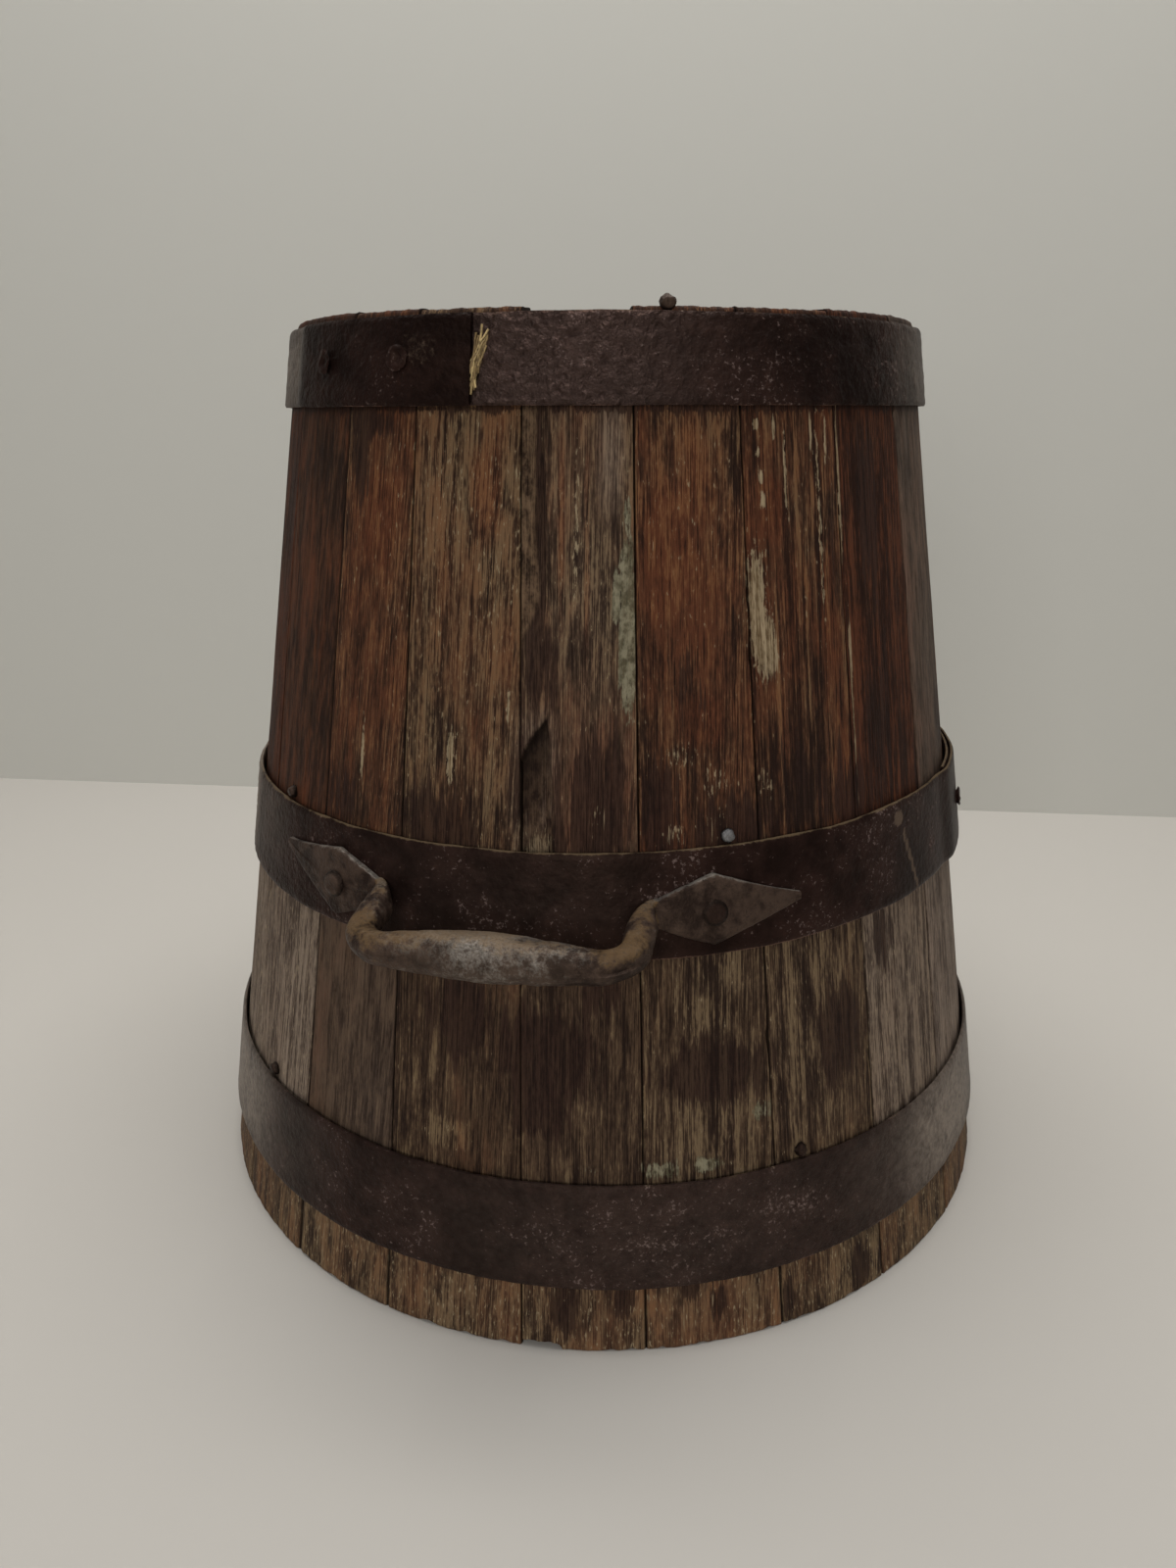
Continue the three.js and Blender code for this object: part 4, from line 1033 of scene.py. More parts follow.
# %% [markdown]
# ## Bending a hoop
# A smith starts from a straight flat bar, and so does this tree: a long thin block, cut fine. One
# Set Position then bends it round the tub. Its rule takes each point's place on the bar, turns the
# length into an angle, leans the width to the taper, and lifts the last stretch over the bar's own
# beginning, where the two are riveted. The same rule lumps the outer face and wavers the edges.


# %% Trees with named inputs
def new_tree(name, inputs):
    """A Geometry Nodes tree with these float inputs, a bare wire and the inputs' wires."""
    tree = bpy.data.node_groups.new(name, "GeometryNodeTree")
    for way in ("INPUT", "OUTPUT"):
        tree.interface.new_socket("Geometry", in_out=way, socket_type="NodeSocketGeometry")
    for label in inputs:
        tree.interface.new_socket(label, in_out="INPUT", socket_type="NodeSocketFloat")
    entry = tree.nodes.new("NodeGroupInput")
    return tree, Wire(tree), {s.name: Wire(tree, s) for s in entry.outputs if s.name}


def store(start, geometry, name, value):
    settings = {"data_type": "FLOAT", "domain": "POINT"}
    sockets = {"Geometry": geometry, "Name": name, "Value": value}
    return start.make("GeometryNodeStoreNamedAttribute", settings, sockets)


def end_tree(start, geometry, finish):
    """Realized, with its finish, to the tree's output."""
    whole = start.make("GeometryNodeRealizeInstances", None, {"Geometry": geometry})
    dressed = {"Geometry": whole, "Material": finish}
    dressed = start.make("GeometryNodeSetMaterial", None, dressed)
    start.make("NodeGroupOutput", None, {"Geometry": dressed})


def grow(name, tree, values, base=None, sharp=40):
    """The plain mesh that a tree makes with these values, as an object at the origin."""
    piece = bpy.data.objects.new(name, base or bpy.data.meshes.new(name + "_base"))
    scene.collection.objects.link(piece)
    modifier = piece.modifiers.new("shape", "NODES")
    modifier.node_group = tree
    for item in tree.interface.items_tree:
        if item.in_out == "INPUT" and item.name in values:
            modifier[item.identifier] = float(values[item.name])
    graph = bpy.context.evaluated_depsgraph_get()
    grown = piece.evaluated_get(graph)
    made = bpy.data.meshes.new_from_object(grown, preserve_all_data_layers=True, depsgraph=graph)
    piece.modifiers.remove(modifier)
    piece.data = made
    made.name = name
    made.shade_smooth()
    made.set_sharp_from_angle(angle=math.radians(sharp))
    return piece


# %% The hoop tree
HOOP_MM = ("Width", "Centre", "Tilt", "Lump height", "Waver", "Joggle")
HOOP_DEGREES = ("High side", "Outer end", "Crust angle", "Crust spread", "Joggle angle")
HOOP_SHARES = ("Dust", "Pitting")
BAR_INPUTS = ("Length", "Thickness", "Clearance", "Start angle", "Sweep")
BAR_INPUTS += ("Climb start", "Climb end")
TUB_INPUTS = ("Foot radius", "Taper", "Seed")
hoop_inputs = HOOP_MM + HOOP_DEGREES + HOOP_SHARES + BAR_INPUTS + TUB_INPUTS
hoop_tree, start, size = new_tree("bent_hoop", hoop_inputs)
block = start.vector(size["Length"], size["Thickness"], size["Width"])
cuts = {"Size": block, "Vertices X": 760, "Vertices Y": 3, "Vertices Z": 32}
bar = start.make("GeometryNodeMeshCube", None, cuts)
at = start.make("GeometryNodeInputPosition")
along, inward, upward = at.parts()
flat = (at + start.vector(size["Seed"], 0.0, 0.0)) * (1.0, 0.0, 1.0)
share = along / size["Length"] + 0.5
level = upward / (size["Width"] * 0.5)
outer = 0.5 - inward / size["Thickness"]

lump = flat.noise((210, 1, 210), 3.0, 0.55)
pit = flat.noise((430, 1, 430), 2.0)
sway = flat.noise((24, 1, 24), 1.0)
edge_wave = flat.noise((26, 1, 6), 3.0, 0.6)
crust = lump * 0.75 + pit * 0.25

angle = size["Start angle"] + size["Sweep"] * share
from_high = angle - size["High side"]
height = size["Centre"] + upward + level * edge_wave.swing(2.0) * size["Waver"]
height = height + size["Tilt"] * from_high.sum("COSINE", from_high)
climb = share.rise(size["Climb start"], size["Climb end"])
past_joggle = angle - size["Joggle angle"] - level * 0.028
joggle = past_joggle.rise(0.0, 0.012) * past_joggle.rise(0.42, 0.05)
lift = size["Clearance"] + climb * (size["Thickness"] + size["Clearance"])
lift = lift + size["Joggle"] * joggle + sway * size["Waver"] * 0.8
from_crust = (angle - size["Crust angle"]) / size["Crust spread"]
from_crust = from_crust * from_crust
crusted = 1 / (1 + from_crust * from_crust)
rough = 0.3 + 0.7 * crusted
proud = (crust - 0.42) * size["Lump height"] * 2 * outer * rough
thin = 1 - 0.6 * level.sum("ABSOLUTE", level).rise(0.93, 1.0)
radius = size["Foot radius"] - size["Taper"] * height + lift + proud
radius = radius + size["Thickness"] * 0.5 - inward * thin
sine, cosine = (angle.sum(way, angle) for way in ("SINE", "COSINE"))
bent = start.vector(radius * sine, radius * cosine * -1.0, height)

stored = {
    "crust": crust * outer,
    "dust": level.rise(0.95, 1.0) * size["Dust"],
    "edge": level.rise(-0.95, -1.0) * (0.4 + size["Dust"] * 0.75),
    "layer": climb,
    "pitting": size["Pitting"] * rough,
    "crusted": crusted * (size["Pitting"] - 0.9) * 0.43,
}
for key, value in stored.items():
    bar = store(start, bar, key, value)
bar = start.make("GeometryNodeSetPosition", None, {"Geometry": bar, "Position": bent})
end_tree(start, bar, hoop_iron)
print("hoop tree:", len(hoop_tree.nodes), "nodes")

# %% The three hoops
HOOP_THICKNESS, HOOP_CLEARANCE = 2 * MM, 0.3 * MM
LAP_LENGTH, LAP_RAMP = 92 * MM, 16 * MM
# what HOOP_MM, HOOP_DEGREES and HOOP_SHARES name
HOOPS = {
    # the top hoop's dust share also paints a highlight along its upper edge
    "top_hoop": ((32, 393.8, 0, 2.2, 0.6, 1.9), (0, -7, 6, 15, -5.6), (0.55, 3.2)),
    "middle_hoop": ((43, 192.5, 3, 0.8, 1.1, 0), (102, 106, 290, 40, 0), (0.8, 1.1)),
    "bottom_hoop": ((45.5, 53.3, 0, 0.8, 1.0, 0), (0, 214, 390, 30, 0), (0.4, 1.3)),
}


def bent_hoop(node, seed):
    lengths, angles, shares = HOOPS[node]
    values = dict(zip(HOOP_MM, np.multiply(lengths, MM)))
    values.update(zip(HOOP_DEGREES, np.radians(angles)))
    values.update(zip(HOOP_SHARES, shares))
    radius = side(values["Centre"])
    round_once, lap = 2 * math.pi, LAP_LENGTH / radius
    sweep = round_once + lap
    start_angle = values["Outer end"] - lap
    climb_start = (round_once - LAP_RAMP / radius) / sweep
    bar = (sweep * radius, HOOP_THICKNESS, HOOP_CLEARANCE, start_angle, sweep)
    values.update(zip(BAR_INPUTS, (*bar, climb_start, round_once / sweep)))
    values.update(zip(TUB_INPUTS, (FOOT_RADIUS, TAPER, seed)))
    piece = grow("iron_" + node, hoop_tree, values)
    radius, azimuth, z = polar(mesh_points(piece.data))
    for kind in HOOP_MARKS:
        store_values(piece.data, kind, marked(kind, azimuth, z / MM, radius / MM))
    return stand_for(piece, "hoop_iron", node)


hoops = [bent_hoop(node, 3.1 * i) for i, node in enumerate(HOOPS)]
print("hoops:", [(piece.name, len(piece.data.polygons)) for piece in hoops])

# %% [markdown]
# ## Forged iron
# The handles were forged by hand from round bar and left as they came off the anvil. Palms keep
# the grip grey and half bright, and the top of the bar is painted lighter as a highlight, while
# ochre rust sits on its upper side, in the bends and round the rivets. The attributes `upper`,
# `grip`, `bend` and `crust` come from the handle's own shape; `bright` sets single heads lighter or
# darker, paints highlights along the plates' upper and lower edges and on one nail's head, and
# `ring` darkens round a rivet's head, as grime and painted shade.

# %% Forged iron finish
forged_iron, start = new_finish("forged_iron")
spot = start.make("ShaderNodeTexCoord", out="Object")
FORGED_LOOKS = ("crust", "upper", "grip", "bend", "bright", "ring")
crust, upper, grip, bend, bright, ring = (attribute(start, key) for key in FORGED_LOOKS)
cloud = spot.noise((40, 40, 40), 3.0)
patch = spot.noise((150, 150, 150), 4.0, 0.65)
scale = spot.noise((360, 360, 360), 3.0, 0.6)
grit = spot.noise((900, 900, 900), 3.0, 0.65)
dark = (cloud * 0.4 + patch * 0.6).rise(0.4, 0.6)
# lighter where palms wear the grip, and painted highlights on the top of the bar and along the
# plates' edges
worn = crust * 0.4 + grip * 0.35 + upper * 0.25 + bright
worn = (worn + patch.swing(0.5) + scale.swing(0.8) + grit.swing(0.8)).rise(0.4, 0.98)
ochre = bend * 0.45 + upper * 0.3 + grip * 0.1 + patch * 0.6 - bright * bright * 3
ochre = (ochre + cloud.swing(0.5) + scale.swing(0.4)).rise(0.55, 0.75)
pitted = ((1 - crust) * 0.35 + grit * 0.4 + scale * 0.35).rise(0.58, 0.7)
iron = layered(
    dark.paint((30, 22, 19), (66, 53, 45)),
    (grip, 0.3, (84, 73, 63)),
    (worn, 0.7, (146, 140, 131)),
    (ochre, 0.6, (104, 82, 54)),
    (bright.rise(-0.25, -0.45), 0.9, (30, 19, 16)),
    # the brightest nail's painted highlight
    (bright.rise(0.4, 0.6), 0.6, (104, 107, 111)),
    # grime round the rivet heads, and painted shade where they meet the iron
    (ring, 0.95, (12, 8, 7)),
    (pitted, 0.55, (30, 24, 22)),
)
dull = 0.36 + grit * 0.2 + ochre * 0.2 - worn * 0.1
sockets = {"Base Color": iron, "Metallic": worn * 0.4, "Roughness": dull}
sockets.update({"Specular IOR Level": 0.2, "Specular Tint": WARM_GLOSS})
finish_surface(start, sockets, grit * 0.3 + scale * 0.9 + patch * 0.8, 1.1 * MM, 0.75)
print("forged iron:", len(forged_iron.node_tree.nodes), "nodes")

# %% [markdown]
# ## A handle
# One bar makes the whole handle: it swells in the palm, bends back towards the tub at both ends,
# and is beaten out into two lozenge plates. A sweep of one section along a curve can't swell,
# flatten and turn square, so the handle is a loft: rings of points, each with its own size and
# squareness, set along the bar's path. Hammer marks are added ring by ring, so that no two lengths
# match.

# %% Handle sizes
HANDLE_CENTRES = {"front_handle": 0, "rear_handle": 180}
(_, MID_CENTRE, MID_TILT, *_), (MID_HIGH_SIDE, *_), _ = HOOPS["middle_hoop"]
HANDLE_LEVEL = (MID_CENTRE - 2) * MM
PLATE_THICKNESS, PLATE_HEIGHT, PLATE_TIP = 4 * MM, 29 * MM, 3 * MM
PLATE_POINT, PLATE_NECK, LEFT_POINT_RISE = 38 * MM, 22 * MM, 8 * MM
RIVET_SPACING, LEG_SPACING = 158 * MM, 108 * MM
LEG_DIAMETER, GRIP_DIAMETER = 12 * MM, 18.5 * MM
GRIP_REACH, GRIP_DROP = 30 * MM, 5.5 * MM
GRIP_CORNER, NECK_BEND = 14 * MM, 10 * MM
ROUND, SQUARE, FLAT = 2.15, 6, 7  # how square a ring is on the grip, at the neck and on the plate
RING = 60  # points in a ring

plate_out = HOOP_THICKNESS + 2 * HOOP_CLEARANCE + PLATE_THICKNESS / 2
bow = side(HANDLE_LEVEL) + plate_out
rivet_angle = math.degrees(math.asin(RIVET_SPACING / 2 / bow))
neck_angle = rivet_angle - math.degrees(PLATE_NECK / bow)
point_angle = rivet_angle + math.degrees(PLATE_POINT / bow)


def plate_level(azimuth):
    return HANDLE_LEVEL + MID_TILT * MM * np.cos(np.radians(azimuth - MID_HIGH_SIDE))


def side_axes(azimuth):
    """Outward and upward directions of the tub's side."""
    outward = np.append(place(math.cos(SLOPE), azimuth, 0)[:2], math.sin(SLOPE))
    upward = np.append(place(-math.sin(SLOPE), azimuth, 0)[:2], math.cos(SLOPE))
    return outward, upward


def evenly(path, count, closed=False):
    """Points spaced evenly along a path in the plane."""
    length = np.append(0, np.cumsum(np.hypot(*np.diff(path, axis=0).T)))
    spaced = np.linspace(0, length[-1], count, endpoint=not closed)
    return np.stack([np.interp(spaced, length, path[:, k]) for k in (0, 1)], 1)


def bar_ring(width, height, squareness):
    """Points round a bar, evenly spaced: round at squareness 2, nearly a rectangle at 6."""
    turn = np.linspace(0, 2 * math.pi, 721)
    x, y = np.cos(turn), np.sin(turn)
    x, y = (np.sign(v) * np.abs(v) ** (2 / squareness) for v in (x, y))
    return evenly(np.stack([width / 2 * x, height / 2 * y], 1), RING, True)


print("rivets at", round(rivet_angle, 2), "degrees, plate points at", round(point_angle, 2))


# %% The bar's path
def half_bow():
    """Half of the bar seen from above, from the middle of the grip: across, out and direction."""
    reach = bow - PLATE_THICKNESS / 2 - HOOP_CLEARANCE + GRIP_REACH
    leg = LEG_SPACING / 2
    neck = place(bow, neck_angle, 0) * (1, -1, 1)
    meet = neck[1] + (neck[0] - leg) * math.tan(math.radians(neck_angle))
    turn = np.linspace(0, math.pi / 2, 40)[:, None]
    bend_middle = np.array([leg - GRIP_CORNER, reach - GRIP_CORNER])
    corner = bend_middle + GRIP_CORNER * np.concatenate([np.sin(turn), np.cos(turn)], 1)
    begin, control, end = np.array([leg, meet + NECK_BEND]), np.array([leg, meet]), neck[:2]
    t = np.linspace(0, 1, 40)[:, None]
    to_plate = (1 - t) ** 2 * begin + 2 * t * (1 - t) * control + t**2 * end
    path = evenly(np.concatenate([[[0, reach]], corner, to_plate]), 150)
    heading = np.gradient(path, axis=0)
    heading /= np.hypot(*heading.T)[:, None]
    bend = np.hypot(*np.gradient(heading, axis=0).T)
    bend = np.convolve(bend / bend.max(), np.ones(9) / 9, "same")
    return path, heading, bend, reach, neck[1], meet + NECK_BEND


path, heading, bend, reach, neck_out, turn_out = half_bow()
print("grip reaches", round(float(reach), 4), "from the axis")


# %% Half a handle
def half_handle(centre, way):
    """Rings of one half, from the middle of the grip to the point of its plate."""
    out = place(1.0, centre, 0)
    across = np.array([-out[1], out[0], 0])
    leg = LEG_SPACING / 2
    rings, looks, heights = [], [], []

    def add(middle, outward, upward, width, height, squareness, look):
        ring = bar_ring(width, height, squareness)
        rings.append(middle + ring[:, :1] * outward + ring[:, 1:] * upward)
        looks.append(look)
        heights.append(2 * ring[:, 1] / height)

    for (s, o), (ds, do), curl in zip(path[:-1], heading[:-1], bend):
        level = plate_level(centre + neck_angle * np.clip(way * s, -leg, leg) / leg)
        level = level - GRIP_DROP * (o - neck_out) / (reach - neck_out)
        flatten = float(rise(turn_out - o, 0, turn_out - neck_out))
        swell = math.cos(math.pi / 2 * min(1, s / leg)) ** 2
        bar = LEG_DIAMETER + (GRIP_DIAMETER - LEG_DIAMETER) * swell
        thick = bar + (PLATE_THICKNESS - bar) * flatten
        outward = out * ds - across * way * do
        leaning = side_axes(centre + way * neck_angle)[1]
        upward = (1 - flatten) * np.array([0, 0, 1]) + flatten * leaning
        upward = upward / np.linalg.norm(upward)
        middle = out * o + across * way * s + [0, 0, level]
        squareness = ROUND + (SQUARE - ROUND) * flatten
        add(middle, outward, upward, thick, bar, squareness, (swell, flatten, curl))
    for angle in np.linspace(neck_angle, point_angle, 70):
        inner = (angle - neck_angle) / (rivet_angle - neck_angle)
        outer = max(0, (angle - rivet_angle) / (point_angle - rivet_angle))
        tall = LEG_DIAMETER + (PLATE_HEIGHT - LEG_DIAMETER) * inner**0.9
        if outer > 0:
            tall = PLATE_TIP + (PLATE_HEIGHT - PLATE_TIP) * (1 - outer) ** 1.08
        azimuth = centre + way * angle
        level = plate_level(azimuth) + (LEFT_POINT_RISE * outer if way < 0 else 0)
        middle = place(side(level) + plate_out, azimuth, level)
        thick = PLATE_THICKNESS * (1 - 0.35 * outer)
        add(middle, *side_axes(azimuth), thick, tall, FLAT, (0, 1, 0))
    return np.array(rings), np.array(looks), np.array(heights)


# %% The handles
def forged_handle(node, seed):
    halves = half_handle(HANDLE_CENTRES[node], 1), half_handle(HANDLE_CENTRES[node], -1)
    rings, looks, heights = (
        np.concatenate([right[::-1], left[1:]]) for right, left in zip(*halves)
    )
    swell, flat, curl = (look[:, None] for look in looks.T)
    upper, under = (np.clip(way * heights, 0, 1) ** (1 + 9 * flat) for way in (1, -1))
    middle = rings.mean(1, keepdims=True)
    spoke = rings - middle
    spoke = spoke / np.linalg.norm(spoke, axis=2, keepdims=True)
    steps = np.linalg.norm(np.diff(middle[:, 0], axis=0), axis=1)
    length = np.append(0, np.cumsum(steps))[:, None] / MM
    round_bar = np.arange(RING) / RING
    near_seam = (1 + np.cos(round_bar * 2 * math.pi)) / 2

    def beaten(along, around, seed):
        """Hills along and round the bar that meet where a ring closes."""
        one, other = (rough_hills(along, around + shift, seed) for shift in (0, 50))
        return one * near_seam + other * (1 - near_seam)

    crust = beaten(length / 7, round_bar * 8, seed)
    dents = beaten(length / 24, round_bar * 4, seed + 3)
    push = ((crust - 0.5) * 0.9 + (dents - 0.5) * 1.6) * (0.5 + 0.7 * (1 - flat))
    azimuth = np.degrees(np.arctan2(middle[..., 0], -middle[..., 1]))
    facing = (spoke * place(1.0, azimuth, 0)).sum(2)
    on_hoop = (flat > 0.5) & (facing < 0)  # the plates' backs stay flat on the hoop
    push = np.where(on_hoop, np.minimum(push, 0.1), push)
    rings = rings + spoke * push[..., None] * MM
    number = np.arange(len(rings) * RING).reshape(-1, RING)
    wrapped = np.concatenate([number, number[:, :1]], 1)
    quads = [wrapped[:-1, :-1], wrapped[:-1, 1:], wrapped[1:, 1:], wrapped[1:, :-1]]
    caps = [
        (row[0], *(row[i : i + 2][::way]))
        for row, way in ((number[0], -1), (number[-1], 1))
        for i in range(1, RING - 1)
    ]
    attributes = {
        "crust": 0.5 * crust + 0.5 * dents,
        "upper": upper,
        "grip": np.broadcast_to(swell, crust.shape),
        "bend": np.broadcast_to(curl, crust.shape),
        # painted highlights along the plates' upper and lower edges
        "bright": flat * (0.42 * upper + 0.3 * under - 0.14),
    }
    attributes = {key: values.ravel() for key, values in attributes.items()}
    points, quads = rings.reshape(-1, 3), np.stack(quads, -1)
    piece = mesh_piece("forged_" + node, points, quads, caps, forged_iron, attributes)
    return stand_for(piece, "handle_iron", node)


handles = [forged_handle(node, 401 + 50 * i) for i, node in enumerate(HANDLE_CENTRES)]
print("handles:", [(piece.name, len(piece.data.polygons)) for piece in handles])

# %% [markdown]
# ## Rivets and nails
# The smith's rivets join each hoop's lap and hold the handles; the cooper's nails stop the hoops
# from creeping up the taper. All are one shape with other sizes: a beaten head on a tapering shank.
# So one tree makes them: it instances a head on points that carry their own aim, then realizes the
# copies and roughens each where it stands, so that no two are alike. The stalks of straw further
# down are copies on points too, so the steps they share are helpers.


# %% Copies on points
def copies(start, points, shape, stretch=(1, 1, 1)):
    """A shape stood on each point along the point's own aim, as one mesh."""
    settings = {"data_type": "FLOAT_VECTOR"}
    aim = start.make("GeometryNodeInputNamedAttribute", settings, {"Name": "aim"})
    turned = start.make("FunctionNodeAlignRotationToVector", {"axis": "Z"}, {"Vector": aim})
    sockets = {"Points": points, "Instance": shape, "Rotation": turned, "Scale": stretch}
    placed = start.make("GeometryNodeInstanceOnPoints", None, sockets)
    return start.make("GeometryNodeRealizeInstances", None, {"Geometry": placed})


def shoved(start, geometry, at, scale, detail, reach):
    """Every point pushed by noise, up to half of reach each way."""
    sockets = {"Vector": at, "Scale": scale, "Detail": detail}
    push = start.make("ShaderNodeTexNoise", None, sockets, "Color")
    sockets = {"Vector": push, "Vector_001": (0.5, 0.5, 0.5)}
    push = start.make("ShaderNodeVectorMath", {"operation": "SUBTRACT"}, sockets)
    sockets = {"Vector": push, "Scale": reach}
    push = start.make("ShaderNodeVectorMath", {"operation": "SCALE"}, sockets)
    return start.make("GeometryNodeSetPosition", None, {"Geometry": geometry, "Offset": push})


def seat_mesh(name, spots, aims, **values):
    """A mesh of bare points with an aim and other values each."""
    mesh = bpy.data.meshes.new(name)
    mesh.from_pydata(np.asarray(spots).tolist(), [], [])
    for key, each in dict(values, aim=aims).items():
        store_values(mesh, key, each)
    return mesh


# %% The fastener tree
FASTENER_MM = ("Head radius", "Head height", "Shank radius", "Shank length", "Unevenness")
FASTENER_SHARES = {"Dimple": 0, "Undercut": 0, "Ring": 0.3}  # where a size doesn't say
fastener_inputs = (*FASTENER_MM, *FASTENER_SHARES, "Seed")


def fastener_tree(name, finish):
    tree, start, size = new_tree(name, fastener_inputs)
    ball = {"Segments": 28, "Rings": 18, "Radius": 1.0}
    ball = start.make("GeometryNodeMeshUVSphere", None, ball)
    at = start.make("GeometryNodeInputPosition")
    x, y, z = at.parts()
    rim = z.rise(0.35, 0.0) * (0.12 - size["Undercut"]) + 0.88
    head = size["Head radius"] * rim - size["Shank radius"]
    wide = size["Shank radius"] + head * z.rise(-0.12, -0.02)
    dome, shank = z.sum("MAXIMUM", z, 0.0), z.sum("MINIMUM", z, 0.0)
    dent = 1 - z.rise(0.72, 1.0) * size["Dimple"]
    tall = dome * (2 - dome) * dent * size["Head height"] + shank * size["Shank length"]
    shaped = start.vector(x * wide, y * wide, tall)
    # a dark ring round the base of each head: grime and painted shade
    ball = store(start, ball, "ring", z.rise(size["Ring"], size["Ring"] * 0.5))
    ball = start.make("GeometryNodeSetPosition", None, {"Geometry": ball, "Position": shaped})
    placed = copies(start, size["Geometry"], ball)
    here = at + start.vector(size["Seed"], 0.0, 0.0)
    placed = shoved(start, placed, here, 330.0, 2.0, size["Unevenness"])
    placed = store(start, placed, "crust", here.noise((500, 500, 500), 2.0))
    end_tree(start, placed, finish)
    return tree


hoop_fasteners = fastener_tree("hoop_rivet", hoop_iron)
forged_fasteners = fastener_tree("forged_fastener", forged_iron)
print("fastener tree:", len(hoop_fasteners.nodes), "nodes")


# %% Seating a fastener
def seats(nodes, lean, tails):
    """Where fasteners seat and which way they point: off the side, or leaning off the end."""
    spots, aims = [], []
    for node in nodes:
        points = node_points(node)
        middle = points.mean(0)
        azimuth = math.degrees(math.atan2(middle[0], -middle[1]))
        aim = side_axes(azimuth)[0]
        if lean is not None:
            aim = np.append(place(math.sin(lean), azimuth, 0)[:2], math.cos(lean))
        reach = (points - middle) @ aim
        spots.append(middle + aim * reach.max())
        aims.append(aim)
        if tails:
            spots.append(middle + aim * reach.min())
            aims.append(-aim)
    return np.array(spots), np.array(aims)


def fasteners(name, nodes, tree, sizes, seed, slot, bright=(0,), lean=None, tails=False):
    """One piece of heads on these solids' seats, and on their far ends where they have tails."""
    spots, aims = seats(nodes, lean, tails)
    values = {key: sizes[key] * MM for key in FASTENER_MM}
    values.update({key: sizes.get(key, usual) for key, usual in FASTENER_SHARES.items()})
    sunk = np.zeros(len(spots))
    sunk[:: 2 if tails else 1] = sizes.get("Sunk", 0) * MM
    spots = spots - aims * (values["Head height"] + sunk)[:, None]
    base = seat_mesh(name + "_seats", spots, aims, bright=np.resize(bright, len(spots)))
    piece = grow(name, tree, dict(values, Seed=seed), base, 60)
    return stand_for(piece, slot, *nodes)


# %% Setting the rivets and nails
lap_size = dict(zip(FASTENER_MM, (4.8, 0.5, 3, 4, 2.4)), Dimple=2.0)
boss_size = dict(zip(FASTENER_MM, (5.6, 2.0, 4, 6, 1.4)), Ring=0.5)
flush_size = dict(zip(FASTENER_MM, (5.2, 1.0, 4, 6, 0.8)), Ring=0.66, Sunk=1.1)
nail_size = dict(zip(FASTENER_MM, (2.9, 2.4, 1.5, 11, 2.2)))
end_size = dict(zip(FASTENER_MM, (3.9, 5.2, 1.5, 8, 2.6)), Undercut=0.45)
END_LEAN = math.radians(28)
FLUSH = ["front_handle_rivet_02"]
bosses = [node for node in named("handle_rivet") if node not in FLUSH]
side_nails = named("bottom_hoop_nail") + named("middle_hoop_nail")
# the head at 0.6 is a painted highlight
NAIL_BRIGHT = (0, -0.4, 0, 0, -0.2, 0.6, 0, 0)  # darker and brighter heads, in that order
forged = forged_fasteners
set_in_iron = [
    fasteners("lap_rivets", named("hoop_rivet"), hoop_fasteners, lap_size, 1.0, "hoop_iron"),
    fasteners("boss_rivets", bosses, forged, boss_size, 2.0, "handle_iron", [0.05], tails=True),
    fasteners("flush_rivet", FLUSH, forged, flush_size, 2.5, "handle_iron", [-0.5], tails=True),
]
end_nails = named("top_hoop_nail")
set_in_wood = [
    fasteners("side_nails", side_nails, forged, nail_size, 3.0, "nail_iron", NAIL_BRIGHT),
    fasteners("end_nails", end_nails, forged, end_size, 5.0, "nail_iron", [-0.1], END_LEAN),
]
for piece in set_in_iron + set_in_wood:
    print("fasteners:", piece.name, len(piece.data.polygons), "faces")

# %% [markdown]
# ## Straw in the lap
# Someone has packed the gap in the top hoop's lap with straw, to stop the loose end from rattling.
# It is a thing that repeats, so a tree makes it: one stalk, instanced on points that carry each
# stalk's direction, length and tint, then bent a little by noise after the copies are realized.

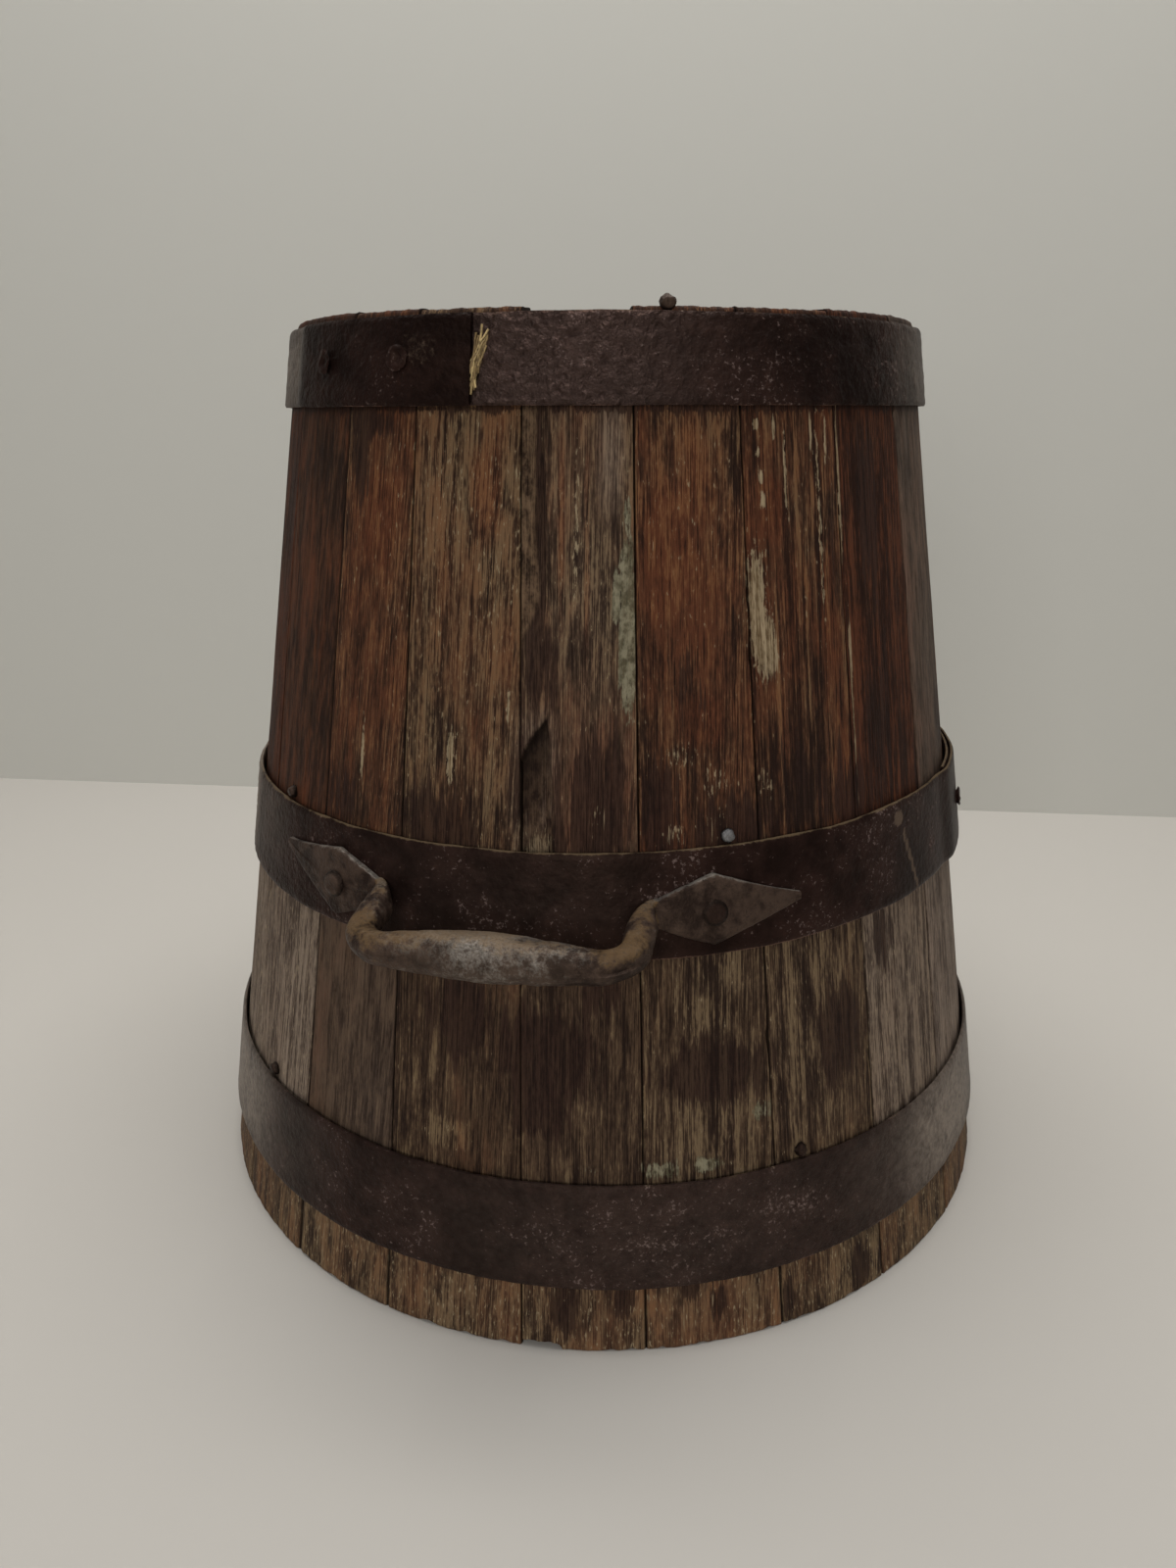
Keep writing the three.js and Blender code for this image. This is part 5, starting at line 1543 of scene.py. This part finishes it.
# %% Straw finish
straw, start = new_finish("straw")
ridge = start.make("ShaderNodeTexCoord", out="Object").noise((2600, 2600, 500), 2.0)
gold = attribute(start, "tint").paint((118, 94, 56), (204, 178, 124))
gold = ridge.rise(0.55, 0.3).paint(gold, (86, 66, 40))
sockets = {"Base Color": gold, "Roughness": 0.5 + ridge * 0.3}
finish_surface(start, sockets, ridge, 0.3 * MM, 0.6)
print("straw:", len(straw.node_tree.nodes), "nodes")

# %% The stalks
STALKS = 46
STALK_SIZE = {"Thickness": 0.38 * MM, "Bend": 1.6 * MM}
(TOP_WIDTH, TOP_CENTRE, *_), _, _ = HOOPS["top_hoop"]
stalk_tree, start, size = new_tree("packed_straw", STALK_SIZE)
stalk = {"Vertices": 7, "Side Segments": 10, "Radius": size["Thickness"], "Depth": 1.0}
stalk = start.make("GeometryNodeMeshCylinder", None, stalk)
settings = {"data_type": "FLOAT"}
length = start.make("GeometryNodeInputNamedAttribute", settings, {"Name": "length"})
packed = copies(start, size["Geometry"], stalk, start.vector(1.0, 1.0, length))
at = start.make("GeometryNodeInputPosition")
packed = shoved(start, packed, at, 160.0, 1.0, size["Bend"])
end_tree(start, packed, straw)

level = draw.uniform(-0.6, 0.42, STALKS)
gap_left, gap_right = -6.7, -5.5 + 1.6 * level  # the gap widens upwards
z = (TOP_CENTRE + level * TOP_WIDTH / 2) * MM
azimuth = gap_left + (gap_right - gap_left) * draw.uniform(0.05, 0.95, STALKS)
lean = np.radians(15 + draw.normal(0, 9, STALKS))
spots = place(side(z) + draw.uniform(2.9, 4.2, STALKS) * MM, azimuth, z)
aims = []
for at_azimuth, at_lean, out in zip(azimuth, lean, draw.normal(0, 0.1, STALKS)):
    outward, upward = side_axes(at_azimuth)
    across = np.cross(upward, outward)
    aims.append(upward * math.cos(at_lean) + across * math.sin(at_lean) + outward * out)
lengths, tints = (draw.uniform(*span, STALKS) for span in ((5 * MM, 15 * MM), (0.0, 1.0)))
base = seat_mesh("stalk_places", spots, aims, length=lengths, tint=tints)
packing = stand_for(grow("packed_straw", stalk_tree, STALK_SIZE, base, 60), "stave_wood")
print("straw:", STALKS, "stalks,", len(packing.data.polygons), "faces")

# %% [markdown]
